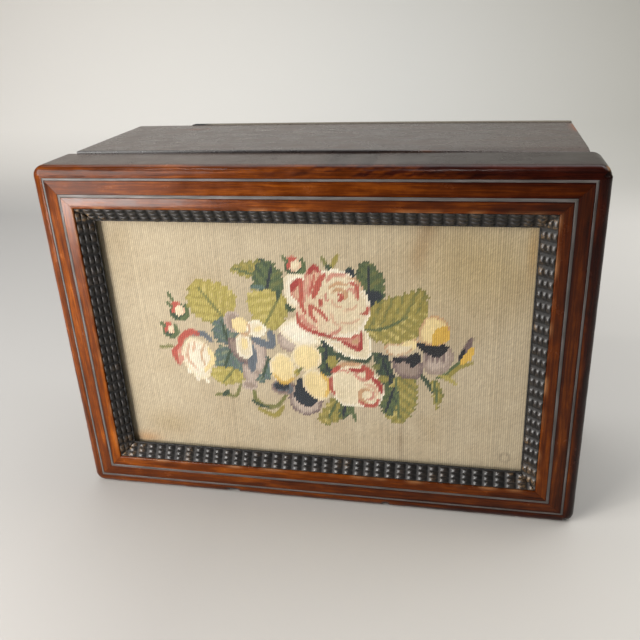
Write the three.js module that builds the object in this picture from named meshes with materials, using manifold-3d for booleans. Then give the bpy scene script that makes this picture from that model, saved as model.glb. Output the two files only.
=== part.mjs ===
// An antique wooden box with a needlework picture under glass in its lid.
// It stands on one long side, with the lid's face towards -Y. Sizes are in millimetres, +Z is up.

import * as THREE from 'three';
import { mergeVertices } from 'three/addons/utils/BufferGeometryUtils.js';
import Module from 'manifold-3d';

const wasm = await Module();
wasm.setup();

// Driving sizes of the whole box
const lidWidth = 305;
const lidHeight = 211;
const boxDepth = 127;
const lidDepth = 36;
const lidOverhang = { left: 10, right: 6.8 };
const lidCornerRadius = 6.4;

// The case
const caseWall = 8;
const baseThickness = 3;
const seamGap = 0.5;
const jointGap = 0.1;
const caseRise = 0.8;
const caseCrown = 0.4;
const caseTilt = 0.3;
const baseProud = 0.6;
const caseCornerRadius = 3.5;
const crownSteps = 12;
const cornerSteps = 4;

// The base board's top edge at its left end, where a sliver has broken off
const breakWidth = 39.5;
const breakDrop = 0.6;
const breakSlant = 1.5;

// The lid's face: widths run inwards from the lid's edge, depths run back from its foremost plane
const noseWidth = 6.2;
const noseDepth = 6.5;
const shoulderDepth = 2.0;
const noseSteps = 5;
const outerString = { centre: 7.2, width: 1.4 };
const innerString = { centre: 16.1, width: 1.7 };
const crestStart = 17.2;
const stringThickness = 1.0;
const stringGap = 0.05;
const railFaceWidth = 23.3;
const innerEdgeEase = 0.5;
const railWall = 18;
const mitreGap = 0.06;
const mitreLead = 4;

// What lies in the lid's rebate
const lipDepth = 7.2;
const layerGap = 0.2;
const glassThickness = 2.0;
const needleworkThickness = 1.4;
const backingThickness = 4.0;
const rebateClearance = 0.4;

// The ripple moulding between the wood and the glass
const rippleWidth = 8.4;
const ripplePitch = 6.4;
const rippleRows = 3;
const rippleSideGap = 0.15;
const rippleCrest = 0.8;
const rippleGroove = 0.6;
const rippleGrooveShare = 0.26;
const rippleSlopeStart = { inwards: 0.5, depth: 0.2 };
const rippleSlopeEnd = { inwards: 7.9, depth: 5.7 };
const rippleLipDepth = 6.3;
const rippleBackGap = 0.2;

// Places worked out from the sizes
const faceY = -boxDepth / 2;
const backY = boxDepth / 2;
const caseFrontY = faceY + lidDepth + seamGap;
const caseBackY = backY - baseThickness - jointGap;
const caseLeft = lidOverhang.left - lidWidth / 2;
const caseRight = lidWidth / 2 - lidOverhang.right;
const caseWidth = caseRight - caseLeft;
const caseCentre = (caseLeft + caseRight) / 2;
const caseTop = lidHeight + caseRise;
const glassFront = lipDepth + layerGap;
const needleworkFront = glassFront + glassThickness + layerGap;
const backingFront = needleworkFront + needleworkThickness + layerGap;

// The four sides of the lid. Each side is made lying along X, and turned about Y into its place.
const lidSides = [
  { name: 'lower', length: lidWidth, reach: lidHeight / 2, turn: 0 },
  { name: 'right', length: lidHeight, reach: lidWidth / 2, turn: -Math.PI / 2 },
  { name: 'upper', length: lidWidth, reach: lidHeight / 2, turn: Math.PI },
  { name: 'left', length: lidHeight, reach: lidWidth / 2, turn: Math.PI / 2 },
];

const materials = {
  lidWood: new THREE.MeshStandardMaterial({ color: 0x7a3c14, roughness: 0.32, metalness: 0 }),
  caseWood: new THREE.MeshStandardMaterial({ color: 0x3a2117, roughness: 0.35, metalness: 0 }),
  baseWood: new THREE.MeshStandardMaterial({ color: 0x4a3222, roughness: 0.6, metalness: 0 }),
  string: new THREE.MeshStandardMaterial({ color: 0x86827f, roughness: 0.45, metalness: 0.9 }),
  ripple: new THREE.MeshStandardMaterial({ color: 0x16120f, roughness: 0.3, metalness: 0 }),
  glass: new THREE.MeshStandardMaterial({
    color: 0xf2f5f2, roughness: 0.03, metalness: 0, transparent: true, opacity: 0.15,
  }),
  needlework: new THREE.MeshStandardMaterial({ color: 0xc3b491, roughness: 0.95, metalness: 0 }),
  backing: new THREE.MeshStandardMaterial({ color: 0x8a6a45, roughness: 0.8, metalness: 0 }),
};

function namedMesh(name, geometry, material) {
  const mesh = new THREE.Mesh(geometry, material);
  mesh.name = name;
  return mesh;
}

// Turns a closed geometry into a solid that can be cut, and back.
function toSolid(geometry) {
  const plain = geometry.clone();
  plain.deleteAttribute('normal');
  plain.deleteAttribute('uv');
  const merged = mergeVertices(plain, 1e-5);
  return new wasm.Manifold(new wasm.Mesh({
    numProp: 3,
    vertProperties: new Float32Array(merged.attributes.position.array),
    triVerts: new Uint32Array(merged.index.array),
  }));
}

function toGeometry(solid) {
  const mesh = solid.getMesh();
  const geometry = new THREE.BufferGeometry();
  geometry.setAttribute('position', new THREE.BufferAttribute(mesh.vertProperties, 3));
  geometry.setIndex(new THREE.BufferAttribute(mesh.triVerts, 1));
  geometry.computeVertexNormals();
  return geometry;
}

// A prism whose outline lies in the XZ plane and which runs back from startY to endY.
function prismAlongY(points, startY, endY) {
  const shape = new THREE.Shape(points.map(([x, z]) => new THREE.Vector2(x, z)));
  const geometry = new THREE.ExtrudeGeometry(shape, { depth: endY - startY, bevelEnabled: false });
  geometry.rotateX(Math.PI / 2);
  geometry.translate(0, endY, 0);
  return geometry;
}

// A prism whose outline lies in the XY plane and which rises from startZ to endZ.
function prismAlongZ(points, startZ, endZ) {
  const shape = new THREE.Shape(points.map(([x, y]) => new THREE.Vector2(x, y)));
  const geometry = new THREE.ExtrudeGeometry(shape, { depth: endZ - startZ, bevelEnabled: false });
  geometry.translate(0, 0, startZ);
  return geometry;
}

function box(width, depth, height, x, y, z) {
  const geometry = new THREE.BoxGeometry(width, depth, height);
  geometry.translate(x, y, z);
  return geometry;
}

// The height of the upper board's top along the box: it bows up in the middle and leans to the right.
function crownedTop(x) {
  const share = (2 * (x - caseCentre)) / caseWidth;
  return caseTop + caseCrown * (1 - share * share) - caseTilt * share;
}

// The line of the upper board's top from one x to another, in even steps.
function crownLine(fromX, toX, lift) {
  const points = [];
  for (let step = 0; step <= crownSteps; step += 1) {
    const x = fromX + ((toX - fromX) * step) / crownSteps;
    points.push([x, crownedTop(x) + lift]);
  }
  return points;
}

// The case seen from above, with its two back corners rounded.
function casePlan() {
  const half = caseWidth / 2;
  const points = [[caseLeft, caseFrontY], [caseRight, caseFrontY]];
  for (const side of [1, -1]) {
    for (let step = 0; step <= cornerSteps; step += 1) {
      const share = side > 0 ? step / cornerSteps : 1 - step / cornerSteps;
      const angle = (share * Math.PI) / 2;
      const x = half - caseCornerRadius * (1 - Math.cos(angle));
      const y = backY - caseCornerRadius * (1 - Math.sin(angle));
      points.push([caseCentre + side * x, y]);
    }
  }
  return points;
}

function trimmedToPlan(geometry) {
  const spare = 20;
  const plan = toSolid(prismAlongZ(casePlan(), -spare, lidHeight + spare));
  return toGeometry(toSolid(geometry).intersect(plan));
}

function makeUpperBoard() {
  const underside = lidHeight - caseWall;
  const outline = [
    [caseRight, underside],
    ...crownLine(caseRight, caseLeft, 0),
    [caseLeft, underside],
  ];
  const board = prismAlongY(outline, caseFrontY, caseBackY);
  return namedMesh('case_board_upper', trimmedToPlan(board), materials.caseWood);
}

function makeLowerBoard() {
  const depth = caseBackY - caseFrontY;
  const middleY = (caseFrontY + caseBackY) / 2;
  const board = box(caseWidth, depth, caseWall, caseCentre, middleY, caseWall / 2);
  return namedMesh('case_board_lower', trimmedToPlan(board), materials.caseWood);
}

function makeEndBoard(name, side) {
  const depth = caseBackY - caseFrontY;
  const height = lidHeight - 2 * caseWall - 2 * jointGap;
  const middleX = caseCentre + (side * (caseWidth - caseWall)) / 2;
  const middleY = (caseFrontY + caseBackY) / 2;
  const board = box(caseWall, depth, height, middleX, middleY, lidHeight / 2);
  return namedMesh(name, trimmedToPlan(board), materials.caseWood);
}

// The base stands a little proud of the upper board, except where its left end has lost a sliver.
function makeBaseBoard() {
  const breakX = caseLeft + breakWidth;
  const outline = [
    [caseLeft, 0],
    [caseRight, 0],
    ...crownLine(caseRight, breakX, baseProud),
    ...crownLine(breakX - breakSlant, caseLeft, -breakDrop),
  ];
  const board = prismAlongY(outline, backY - baseThickness, backY);
  return namedMesh('base_board', trimmedToPlan(board), materials.baseWood);
}

function makeCase() {
  const group = new THREE.Group();
  group.add(makeLowerBoard(), makeUpperBoard());
  group.add(makeEndBoard('case_end_left', -1), makeEndBoard('case_end_right', 1));
  group.add(makeBaseBoard());
  return group;
}

// Depth of the lid's face at a distance in from its edge, inside the nose:
// it rises from the outer string to the inner string, then runs flat.
function faceDepth(inwards) {
  const share = (inwards - noseWidth) / (crestStart - noseWidth);
  return shoulderDepth * (1 - Math.min(Math.max(share, 0), 1));
}

// The groove that a string lies in, as four points from the outside inwards.
function groovePoints(string) {
  const near = string.centre - string.width / 2 - stringGap;
  const far = string.centre + string.width / 2 + stringGap;
  const floor = faceDepth(string.centre) + stringThickness + stringGap;
  return [[near, faceDepth(near)], [near, floor], [far, floor], [far, faceDepth(far)]];
}

// The section of a lid rail, as [distance inwards, depth] points going round it.
function railSection() {
  const points = [[0, lidDepth], [0, noseDepth]];
  for (let step = 1; step <= noseSteps; step += 1) {
    const angle = (step / noseSteps) * (Math.PI / 2);
    const inwards = noseWidth * (1 - Math.cos(angle));
    const depth = noseDepth - (noseDepth - shoulderDepth) * Math.sin(angle);
    points.push([inwards, depth]);
  }
  points.push(...groovePoints(outerString), ...groovePoints(innerString));
  points.push([crestStart, 0], [railFaceWidth - innerEdgeEase, 0], [railFaceWidth, innerEdgeEase]);
  points.push([railFaceWidth, lipDepth], [railWall, lipDepth], [railWall, lidDepth]);
  return points;
}

function stringSection(string) {
  const near = string.centre - string.width / 2;
  const far = string.centre + string.width / 2;
  const floor = faceDepth(string.centre) + stringThickness;
  return [[near, floor], [near, faceDepth(near)], [far, faceDepth(far)], [far, floor]];
}

// Where a section point lies near a corner, as [distance along the side, distance inwards].
// At angle 0 the section is square across the rail, and at 45 degrees it lies in the mitre.
function cornerPoint(inwards, angle) {
  const mitre = Math.PI / 4;
  if (inwards < lidCornerRadius) {
    const radius = lidCornerRadius - inwards;
    return [lidCornerRadius - radius * Math.sin(angle), lidCornerRadius - radius * Math.cos(angle)];
  }
  return [inwards + (1 - angle / mitre) * mitreLead, inwards];
}

// Rings of 3-D points: from the mitre at one end, along the side, to the mitre at the other.
function railRings(section, side, turns) {
  const rings = [];
  for (const end of [-1, 1]) {
    const angles = Array.from({ length: turns + 1 }, (_, step) => (step / turns) * (Math.PI / 4));
    if (end < 0) angles.reverse();
    for (const angle of angles) {
      rings.push(section.map(([inwards, depth]) => {
        const [along, into] = cornerPoint(inwards, angle);
        return [end * (side.length / 2 - along - mitreGap), depth, into - side.reach];
      }));
    }
  }
  return rings;
}

// Joins rings of the same number of points into one closed geometry with flat ends.
function loft(rings, section) {
  const count = section.length;
  const positions = rings.flat(2);
  const triangles = [];
  for (let ring = 0; ring + 1 < rings.length; ring += 1) {
    for (let point = 0; point < count; point += 1) {
      const next = (point + 1) % count;
      const a = ring * count + point;
      const b = ring * count + next;
      triangles.push(a, b, b + count, a, b + count, a + count);
    }
  }
  const outline = section.map(([inwards, depth]) => new THREE.Vector2(inwards, depth));
  const last = (rings.length - 1) * count;
  for (const [a, b, c] of THREE.ShapeUtils.triangulateShape(outline, [])) {
    triangles.push(a, c, b, last + a, last + b, last + c);
  }
  const geometry = new THREE.BufferGeometry();
  geometry.setAttribute('position', new THREE.Float32BufferAttribute(positions, 3));
  geometry.setIndex(triangles);
  return facingOut(geometry);
}

// Turns the triangles round if the closed geometry's volume comes out negative.
function facingOut(geometry) {
  const position = geometry.attributes.position;
  const index = geometry.index;
  const corners = [new THREE.Vector3(), new THREE.Vector3(), new THREE.Vector3()];
  let volume = 0;
  for (let first = 0; first < index.count; first += 3) {
    corners.forEach((corner, k) => corner.fromBufferAttribute(position, index.getX(first + k)));
    volume += corners[0].dot(corners[1].clone().cross(corners[2]));
  }
  if (volume < 0) {
    const flipped = Array.from(index.array);
    for (let first = 0; first < flipped.length; first += 3) {
      [flipped[first + 1], flipped[first + 2]] = [flipped[first + 2], flipped[first + 1]];
    }
    geometry.setIndex(flipped);
  }
  geometry.computeVertexNormals();
  return geometry;
}

function makeLidRail(side) {
  const section = railSection();
  const geometry = loft(railRings(section, side, cornerSteps), section);
  return namedMesh(`lid_rail_${side.name}`, geometry, materials.lidWood);
}

function makeString(kind, string, side) {
  const section = stringSection(string);
  const rings = [-1, 1].map((end) => section.map(([inwards, depth]) => {
    const along = inwards + mitreGap;
    return [end * (side.length / 2 - along), depth, inwards - side.reach];
  }));
  return namedMesh(`${kind}_string_${side.name}`, loft(rings, section), materials.string);
}

// A point of the ripple moulding's slope: share 0 is next to the wood, share 1 is at the lip.
// Lift is measured square to the slope, towards the viewer.
function slopePoint(share, lift) {
  const run = rippleSlopeEnd.inwards - rippleSlopeStart.inwards;
  const fall = rippleSlopeEnd.depth - rippleSlopeStart.depth;
  const length = Math.hypot(run, fall);
  const inwards = rippleSlopeStart.inwards + share * run + (lift * fall) / length;
  const depth = rippleSlopeStart.depth + share * fall - (lift * run) / length;
  return [railFaceWidth + inwards, depth];
}

// The moulding's section: a back, an outer wall, three rounded rows down the slope, and a lip.
function rippleSection(lift) {
  const outer = railFaceWidth + rippleSideGap;
  const inner = railFaceWidth + rippleWidth;
  const back = lipDepth - rippleBackGap;
  const points = [[outer, back], [outer, rippleSlopeStart.depth + rippleGroove]];
  for (let row = 0; row < rippleRows; row += 1) {
    points.push(slopePoint(row / rippleRows, lift - rippleCrest));
    points.push(slopePoint((row + 0.5) / rippleRows, lift));
  }
  points.push([inner, rippleLipDepth], [inner, back]);
  return points;
}

// Rings along the moulding: each ripple is a flat pad between two narrow grooves.
function rippleRings(side) {
  const halfCount = Math.ceil((side.length / 2 - railFaceWidth) / ripplePitch);
  const halfGroove = (rippleGrooveShare * ripplePitch) / 2;
  const rings = [];
  const addRing = (x, lift) => {
    rings.push(rippleSection(lift).map(([inwards, depth]) => [x, depth, inwards - side.reach]));
  };
  for (let ripple = -halfCount; ripple <= halfCount; ripple += 1) {
    const x = ripple * ripplePitch;
    addRing(x - halfGroove, rippleCrest);
    addRing(x, rippleCrest - rippleGroove);
    addRing(x + halfGroove, rippleCrest);
  }
  return rings;
}

// A wedge that keeps what lies between the two mitres of a side.
function mitreWedge(side) {
  const half = side.length / 2 - mitreGap;
  const inwards = railFaceWidth + 2 * rippleWidth;
  const outline = [
    [-half, -side.reach],
    [half, -side.reach],
    [half - inwards, inwards - side.reach],
    [inwards - half, inwards - side.reach],
  ];
  return toSolid(prismAlongY(outline, -lidDepth, lidDepth));
}

function makeRipple(side) {
  const bar = toSolid(loft(rippleRings(side), rippleSection(rippleCrest)));
  const geometry = toGeometry(bar.intersect(mitreWedge(side)));
  return namedMesh(`ripple_${side.name}`, geometry, materials.ripple);
}

// A flat layer in the lid's rebate, from one depth behind the face, with its own thickness.
function makeLayer(name, front, thickness, material) {
  const inset = railWall + rebateClearance;
  const width = lidWidth - 2 * inset;
  const height = lidHeight - 2 * inset;
  return namedMesh(name, box(width, thickness, height, 0, front + thickness / 2, 0), material);
}

function makeLid() {
  const group = new THREE.Group();
  group.position.set(0, faceY, lidHeight / 2);
  for (const side of lidSides) {
    const pieces = new THREE.Group();
    pieces.rotation.y = side.turn;
    pieces.add(makeLidRail(side), makeRipple(side));
    pieces.add(makeString('outer', outerString, side), makeString('inner', innerString, side));
    group.add(pieces);
  }
  group.add(makeLayer('glass_pane', glassFront, glassThickness, materials.glass));
  group.add(makeLayer('needlework_panel', needleworkFront, needleworkThickness, materials.needlework));
  group.add(makeLayer('lid_backing_board', backingFront, backingThickness, materials.backing));
  return group;
}

const needleworkBox = new THREE.Group();
needleworkBox.add(makeCase(), makeLid());

export default needleworkBox;
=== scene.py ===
# Looks of the needlework box: camera, light, materials and fine meshes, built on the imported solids.
# Lengths are in millimetres until a mesh is made, and in metres in the room. The box stands on one long
# side, with its lid towards -Y.

import math

import bmesh
import bpy
import numpy as np
from mathutils import Matrix, Vector


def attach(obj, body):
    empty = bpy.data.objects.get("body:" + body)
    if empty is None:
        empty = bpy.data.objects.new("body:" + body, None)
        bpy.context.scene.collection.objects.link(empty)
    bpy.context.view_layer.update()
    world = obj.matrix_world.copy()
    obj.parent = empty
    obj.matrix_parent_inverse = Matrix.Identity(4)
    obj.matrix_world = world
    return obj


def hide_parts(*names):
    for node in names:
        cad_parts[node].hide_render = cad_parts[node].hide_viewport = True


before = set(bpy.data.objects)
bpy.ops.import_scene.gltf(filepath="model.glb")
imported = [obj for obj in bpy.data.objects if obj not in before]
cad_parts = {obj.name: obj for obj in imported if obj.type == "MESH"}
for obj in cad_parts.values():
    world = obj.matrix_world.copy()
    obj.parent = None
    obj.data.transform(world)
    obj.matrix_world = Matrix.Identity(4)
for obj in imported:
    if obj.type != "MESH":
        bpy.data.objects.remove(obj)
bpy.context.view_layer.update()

MM = 0.001

# Driving sizes. Those that the solids have too are the same, but the strings are a little narrower here.
LID_WIDTH = 305
LID_HEIGHT = 211
LID_DEPTH = 36
FACE_Y = -63.5
BACK_Y = 63.5
CORNER_RADIUS = 6.4
NOSE_WIDTH = 6.2
NOSE_DEPTH = 6.5
SHOULDER_DEPTH = 2.0
OUTER_STRING = (7.2, 1.25)
INNER_STRING = (16.1, 1.6)
CREST_START = 17.2
STRING_DEPTH = 1.0
RAIL_FACE = 23.3
RAIL_WALL = 18.0
LIP_DEPTH = 7.2
MITRE_GAP = 0.06
MITRE_LEAD = 4.0
GLUE_LINE = 0.03
BED_GAP = 0.05

RIPPLE_WIDTH = 8.4
RIPPLE_PITCH = 6.4
RIPPLE_ROWS = 3
RIPPLE_START = (0.5, 0.2)
RIPPLE_END = (7.9, 5.7)
RIPPLE_LIP = 6.3
RIPPLE_SIDE_GAP = 0.15
RIPPLE_BACK_GAP = 0.2
RIPPLE_LENGTH_SHARE = 0.92
RIPPLE_HEIGHT = 1.25
RIPPLE_SUNK = 1.05
RIPPLE_WALL_TOP = 0.9

CANVAS_FRONT = 9.6
CANVAS_THICKNESS = 1.4
CANVAS_INSET = 18.4

# The stitches, and the folds and teeth of the leaves in the picture
RIB_PITCH = 1.22
STITCH_PITCH = 1.22
RIB_COUNT = 206
STITCH_ROWS = 128
STITCH_DIP = 0.16
GROOVE_DEPTH = 0.45
GROOVE_SHADE = 0.62
FOLD_PITCH = 6.8
TOOTH_PITCH = 4.2

CASE_LEFT = -142.5
CASE_RIGHT = 145.7
CASE_CENTRE = (CASE_LEFT + CASE_RIGHT) / 2
CASE_HALF = (CASE_RIGHT - CASE_LEFT) / 2
CASE_WALL = 8.0
JOINT_GAP = 0.1
CASE_FRONT = -27.0
CASE_BACK = 60.4
CASE_TOP = 211.8
CASE_CROWN = 0.4
CASE_TILT = 0.3
CASE_CORNER = 3.5
BASE_FRONT = 60.5
BASE_PROUD = 0.6
BREAK_X = CASE_LEFT + 39.5
BREAK_DROP = 0.6
BREAK_SLANT = 1.5

# How far edges are eased, and into how many steps a rounding or a ripple is cut
BACK_EASE = 0.6
BOARD_EASE = 0.5
NOSE_EASE = 0.3
BED_BEVEL = 0.22
CREST_EASE = 0.6
INNER_EASE = 0.7
STRING_EASE = 0.12
NOSE_STEPS = 14
INNER_STEPS = 4
CORNER_STEPS = 8
RIPPLE_STEPS_ACROSS = 8
RIPPLE_STEPS_ALONG = 16

# Each side of the lid: name, length, distance from the middle to its outer edge, turn about Y
SIDES = [
    ("lower", LID_WIDTH, LID_HEIGHT / 2, 0.0),
    ("right", LID_HEIGHT, LID_WIDTH / 2, -math.pi / 2),
    ("upper", LID_WIDTH, LID_HEIGHT / 2, math.pi),
    ("left", LID_HEIGHT, LID_WIDTH / 2, math.pi / 2),
]


def linear(colour):
    """A colour given as 0 to 255 per channel on screen, as linear values."""
    share = np.array(colour, float) / 255
    return np.where(share <= 0.04045, share / 12.92, ((share + 0.055) / 1.055) ** 2.4)


def smooth_step(low, high, value):
    share = np.clip((value - low) / (high - low), 0, 1)
    return share * share * (3 - 2 * share)


def waves(seed, count, longest, *coordinates):
    """A gentle random surface in -1 to 1: a sum of sine waves, the same at every run."""
    rng = np.random.default_rng(seed)
    total = np.zeros(np.broadcast(*coordinates).shape)
    for wave in range(count):
        length = longest / (1 + 0.7 * wave)
        aim = rng.normal(size=len(coordinates))
        aim /= np.linalg.norm(aim)
        phase = rng.uniform(0, 2 * math.pi)
        total = total + np.sin(sum(a * c for a, c in zip(aim, coordinates)) * 2 * math.pi / length + phase)
    return total / count


# Materials


class Nodes:
    """A short way to write a material's nodes."""

    def __init__(self, name):
        self.material = bpy.data.materials.new(name)
        self.material.use_nodes = True
        self.tree = self.material.node_tree
        self.shader = self.tree.nodes["Principled BSDF"]

    def add(self, kind, inputs=None, **settings):
        node = self.tree.nodes.new(kind)
        for key, value in settings.items():
            setattr(node, key, value)
        for key, value in (inputs or {}).items():
            self.put(node.inputs[key], value)
        return node

    def put(self, socket, value):
        if isinstance(value, bpy.types.NodeSocket):
            self.tree.links.new(value, socket)
        else:
            socket.default_value = value

    def attribute(self, name, output):
        return self.add("ShaderNodeAttribute", attribute_name=name).outputs[output]

    def noise(self, vector, scale, detail, distortion=0.0):
        """Noise over a place, which is first scaled by a factor for each axis."""
        place = self.add("ShaderNodeVectorMath", {0: vector, 1: scale}, operation="MULTIPLY").outputs[0]
        inputs = {"Vector": place, "Scale": 1.0, "Detail": detail, "Roughness": 0.6}
        inputs["Distortion"] = distortion
        return self.add("ShaderNodeTexNoise", inputs).outputs["Fac"]

    def ramp(self, value, stops):
        node = self.add("ShaderNodeValToRGB", {"Fac": value})
        elements = node.color_ramp.elements
        while len(elements) < len(stops):
            elements.new(0.5)
        for element, (place, colour) in zip(elements, stops):
            element.position = place
            element.color = (*linear(colour), 1)
        return node.outputs["Color"]

    def remap(self, value, low, high, to_low=0.0, to_high=1.0):
        inputs = {"Value": value, "From Min": low, "From Max": high, "To Min": to_low, "To Max": to_high}
        return self.add("ShaderNodeMapRange", inputs, clamp=True).outputs["Result"]

    def math(self, operation, first, second):
        return self.add("ShaderNodeMath", {0: first, 1: second}, operation=operation).outputs[0]

    def mix(self, factor, first, second, blend="MIX"):
        node = self.add("ShaderNodeMix", data_type="RGBA", blend_type=blend)
        sockets = {s.identifier: s for s in node.inputs}
        for key, value in (("Factor_Float", factor), ("A_Color", first), ("B_Color", second)):
            if not isinstance(value, (bpy.types.NodeSocket, float, int)):
                value = (*linear(value), 1)
            self.put(sockets[key], value)
        return next(s for s in node.outputs if s.identifier == "Result_Color")

    def bump(self, height, distance, strength):
        inputs = {"Height": height, "Distance": distance * MM, "Strength": strength}
        self.put(self.shader.inputs["Normal"], self.add("ShaderNodeBump", inputs).outputs["Normal"])

    def finish(self, **values):
        for key, value in values.items():
            self.put(self.shader.inputs[key.replace("_", " ")], value)
        return self.material


def wood(name, stops, tones, polish, specular, pore_depth):
    """Polished or bare wood. The grain runs along the first number of the attribute called grain. tones are
    its stained colour, its colour for grime and painted shade, and its colour for wear and painted
    highlights and sheen."""
    stain_and_sheen_tone, grime_and_shade, worn = tones
    nodes = Nodes(name)
    grain = nodes.attribute("grain", "Vector")
    figure = nodes.noise(grain, (0.016, 0.20, 0.20), 5.0, 0.9)
    streaks = nodes.noise(grain, (0.05, 1.3, 1.3), 4.0, 0.3)
    pores = nodes.noise(grain, (0.25, 3.6, 3.6), 3.0)
    clouds = nodes.noise(grain, (0.07, 0.11, 0.11), 4.0)
    blend = nodes.math("ADD", nodes.math("MULTIPLY", figure, 0.45), nodes.math("MULTIPLY", streaks, 0.30))
    blend = nodes.math("ADD", blend, nodes.math("MULTIPLY", clouds, 0.25))
    colour = nodes.ramp(blend, stops)
    colour = nodes.mix(nodes.remap(pores, 0.55, 0.72, 0.0, 0.4), colour, stops[0][1])
    colour = nodes.mix(nodes.attribute("stain", "Fac"), colour, stain_and_sheen_tone)
    colour = nodes.mix(nodes.attribute("shade", "Fac"), colour, grime_and_shade, "MULTIPLY")
    colour = nodes.mix(nodes.attribute("worn", "Fac"), colour, worn)
    rough = nodes.remap(clouds, 0.3, 0.7, polish - 0.05, polish + 0.07)
    rough = nodes.math("ADD", rough, nodes.math("MULTIPLY", nodes.attribute("worn", "Fac"), 0.3))
    nodes.bump(nodes.math("ADD", pores, nodes.math("MULTIPLY", streaks, 0.6)), pore_depth, 0.5)
    return nodes.finish(Base_Color=colour, Roughness=rough, Specular_IOR_Level=specular)


def string_metal():
    nodes = Nodes("string_metal")
    grain = nodes.attribute("grain", "Vector")
    tarnish = nodes.noise(grain, (0.06, 0.5, 0.5), 4.0)
    scratches = nodes.noise(grain, (0.3, 4.0, 4.0), 3.0)
    colour = nodes.ramp(tarnish, [(0.3, (56, 52, 50)), (0.5, (76, 72, 69)), (0.7, (98, 93, 91))])
    nodes.bump(scratches, 0.02, 0.5)
    rough = nodes.remap(tarnish, 0.3, 0.7, 0.55, 0.42)
    return nodes.finish(Base_Color=colour, Metallic=0.25, Roughness=rough)


def ebonised_wood():
    nodes = Nodes("ebonised_wood")
    grain = nodes.attribute("grain", "Vector")
    patches = nodes.noise(grain, (0.08, 0.2, 0.2), 4.0)
    specks = nodes.noise(grain, (0.9, 1.2, 1.2), 3.0)
    colour = nodes.ramp(patches, [(0.35, (14, 12, 11)), (0.55, (26, 22, 20)), (0.75, (50, 41, 36))])
    rub = nodes.math("MULTIPLY", nodes.attribute("worn", "Fac"), nodes.remap(specks, 0.42, 0.62, 0.0, 1.0))
    colour = nodes.mix(rub, colour, (128, 100, 66))
    # Darker in the hollows: partly grime, partly painted shade.
    hollow = nodes.attribute("hollow", "Fac")
    colour = nodes.mix(nodes.math("MULTIPLY", hollow, 0.85), colour, (8, 7, 6))
    nodes.bump(specks, 0.03, 0.4)
    rough = nodes.remap(specks, 0.3, 0.7, 0.30, 0.42)
    rough = nodes.math("ADD", rough, nodes.math("MULTIPLY", hollow, 0.4))
    return nodes.finish(Base_Color=colour, Roughness=rough, Specular_IOR_Level=0.5)


def clear_glass():
    tint = (*linear((30, 32, 31)), 1)
    return Nodes("clear_glass").finish(Base_Color=tint, Roughness=0.04, Alpha=0.06, IOR=1.5)


def needlework_wool():
    nodes = Nodes("needlework_wool")
    place = nodes.add("ShaderNodeTexCoord").outputs["Object"]
    fibres = nodes.noise(place, (2600, 2600, 1300), 3.0)
    grime = nodes.noise(place, (26, 26, 26), 5.0)
    colour = nodes.attribute("stitch", "Color")
    colour = nodes.mix(nodes.remap(fibres, 0.3, 0.7, 0.16, 0.0), colour, (120, 104, 80), "MULTIPLY")
    colour = nodes.mix(nodes.remap(grime, 0.45, 0.75, 0.0, 0.35), colour, (205, 190, 160), "MULTIPLY")
    nodes.bump(fibres, 0.12, 0.6)
    return nodes.finish(Base_Color=colour, Roughness=0.92)


# Dark-to-light stops of the woods, and their tones for staining, for grime and painted shade, and for wear
# and painted highlights and sheen, as colours on screen. The lid's stained tone is a grey that is partly
# the dark staining of its sides and partly painted sheen.
LID_STOPS = [(0.36, (46, 16, 1)), (0.50, (91, 40, 2)), (0.64, (137, 71, 9))]
LID_TONES = ((68, 55, 48), (112, 76, 52), (176, 128, 84))
CASE_STOPS = [(0.34, (26, 16, 12)), (0.50, (44, 28, 21)), (0.66, (64, 41, 30))]
CASE_TONES = ((24, 15, 12), (90, 60, 48), (118, 66, 36))
BASE_STOPS = [(0.34, (34, 22, 15)), (0.50, (56, 37, 25)), (0.66, (80, 56, 40))]
BASE_TONES = ((22, 14, 10), (90, 64, 48), (106, 100, 89))
BACKING_STOPS = [(0.34, (120, 88, 56)), (0.50, (150, 114, 74)), (0.66, (172, 136, 92))]
BACKING_TONES = ((60, 42, 28), (120, 100, 80), (190, 160, 120))

MATERIALS = {
    "lid_wood": wood("lid_wood", LID_STOPS, LID_TONES, 0.22, 0.16, 0.015),
    "case_wood": wood("case_wood", CASE_STOPS, CASE_TONES, 0.27, 0.62, 0.008),
    "base_wood": wood("base_wood", BASE_STOPS, BASE_TONES, 0.55, 0.4, 0.08),
    "backing_wood": wood("backing_wood", BACKING_STOPS, BACKING_TONES, 0.7, 0.4, 0.08),
    "string_metal": string_metal(),
    "ebonised_wood": ebonised_wood(),
    "glass": clear_glass(),
    "needlework": needlework_wool(),
}


# Pieces


def add_object(name, data):
    made = bpy.data.objects.new(name, data)
    bpy.context.scene.collection.objects.link(made)
    return made


def coat(mesh, slot):
    mesh.materials.clear()
    mesh.materials.append(MATERIALS[slot])


def add_piece(name, points, faces, slot, stands_for, uvs, attributes, sharp_angle=38.0):
    """Makes a mesh piece from points in mm, with its attributes and material, and sets it on the part."""
    mesh = bpy.data.meshes.new(name)
    points = np.asarray(points).reshape(-1, 3)
    mesh.from_pydata((points * MM).tolist(), [], faces)
    if uvs is not None:
        layer = mesh.uv_layers.new(name="OFBake")
        layer.data.foreach_set("uv", np.asarray(uvs, np.float32).ravel())
    for key, values in attributes.items():
        kind, field = ("FLOAT_VECTOR", "vector") if key == "grain" else ("FLOAT", "value")
        attribute = mesh.attributes.new(key, kind, "POINT")
        attribute.data.foreach_set(field, np.asarray(values, np.float32).ravel())
    face_out(mesh, sharp_angle)
    return settle(add_object(name, mesh), slot, stands_for)


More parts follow.
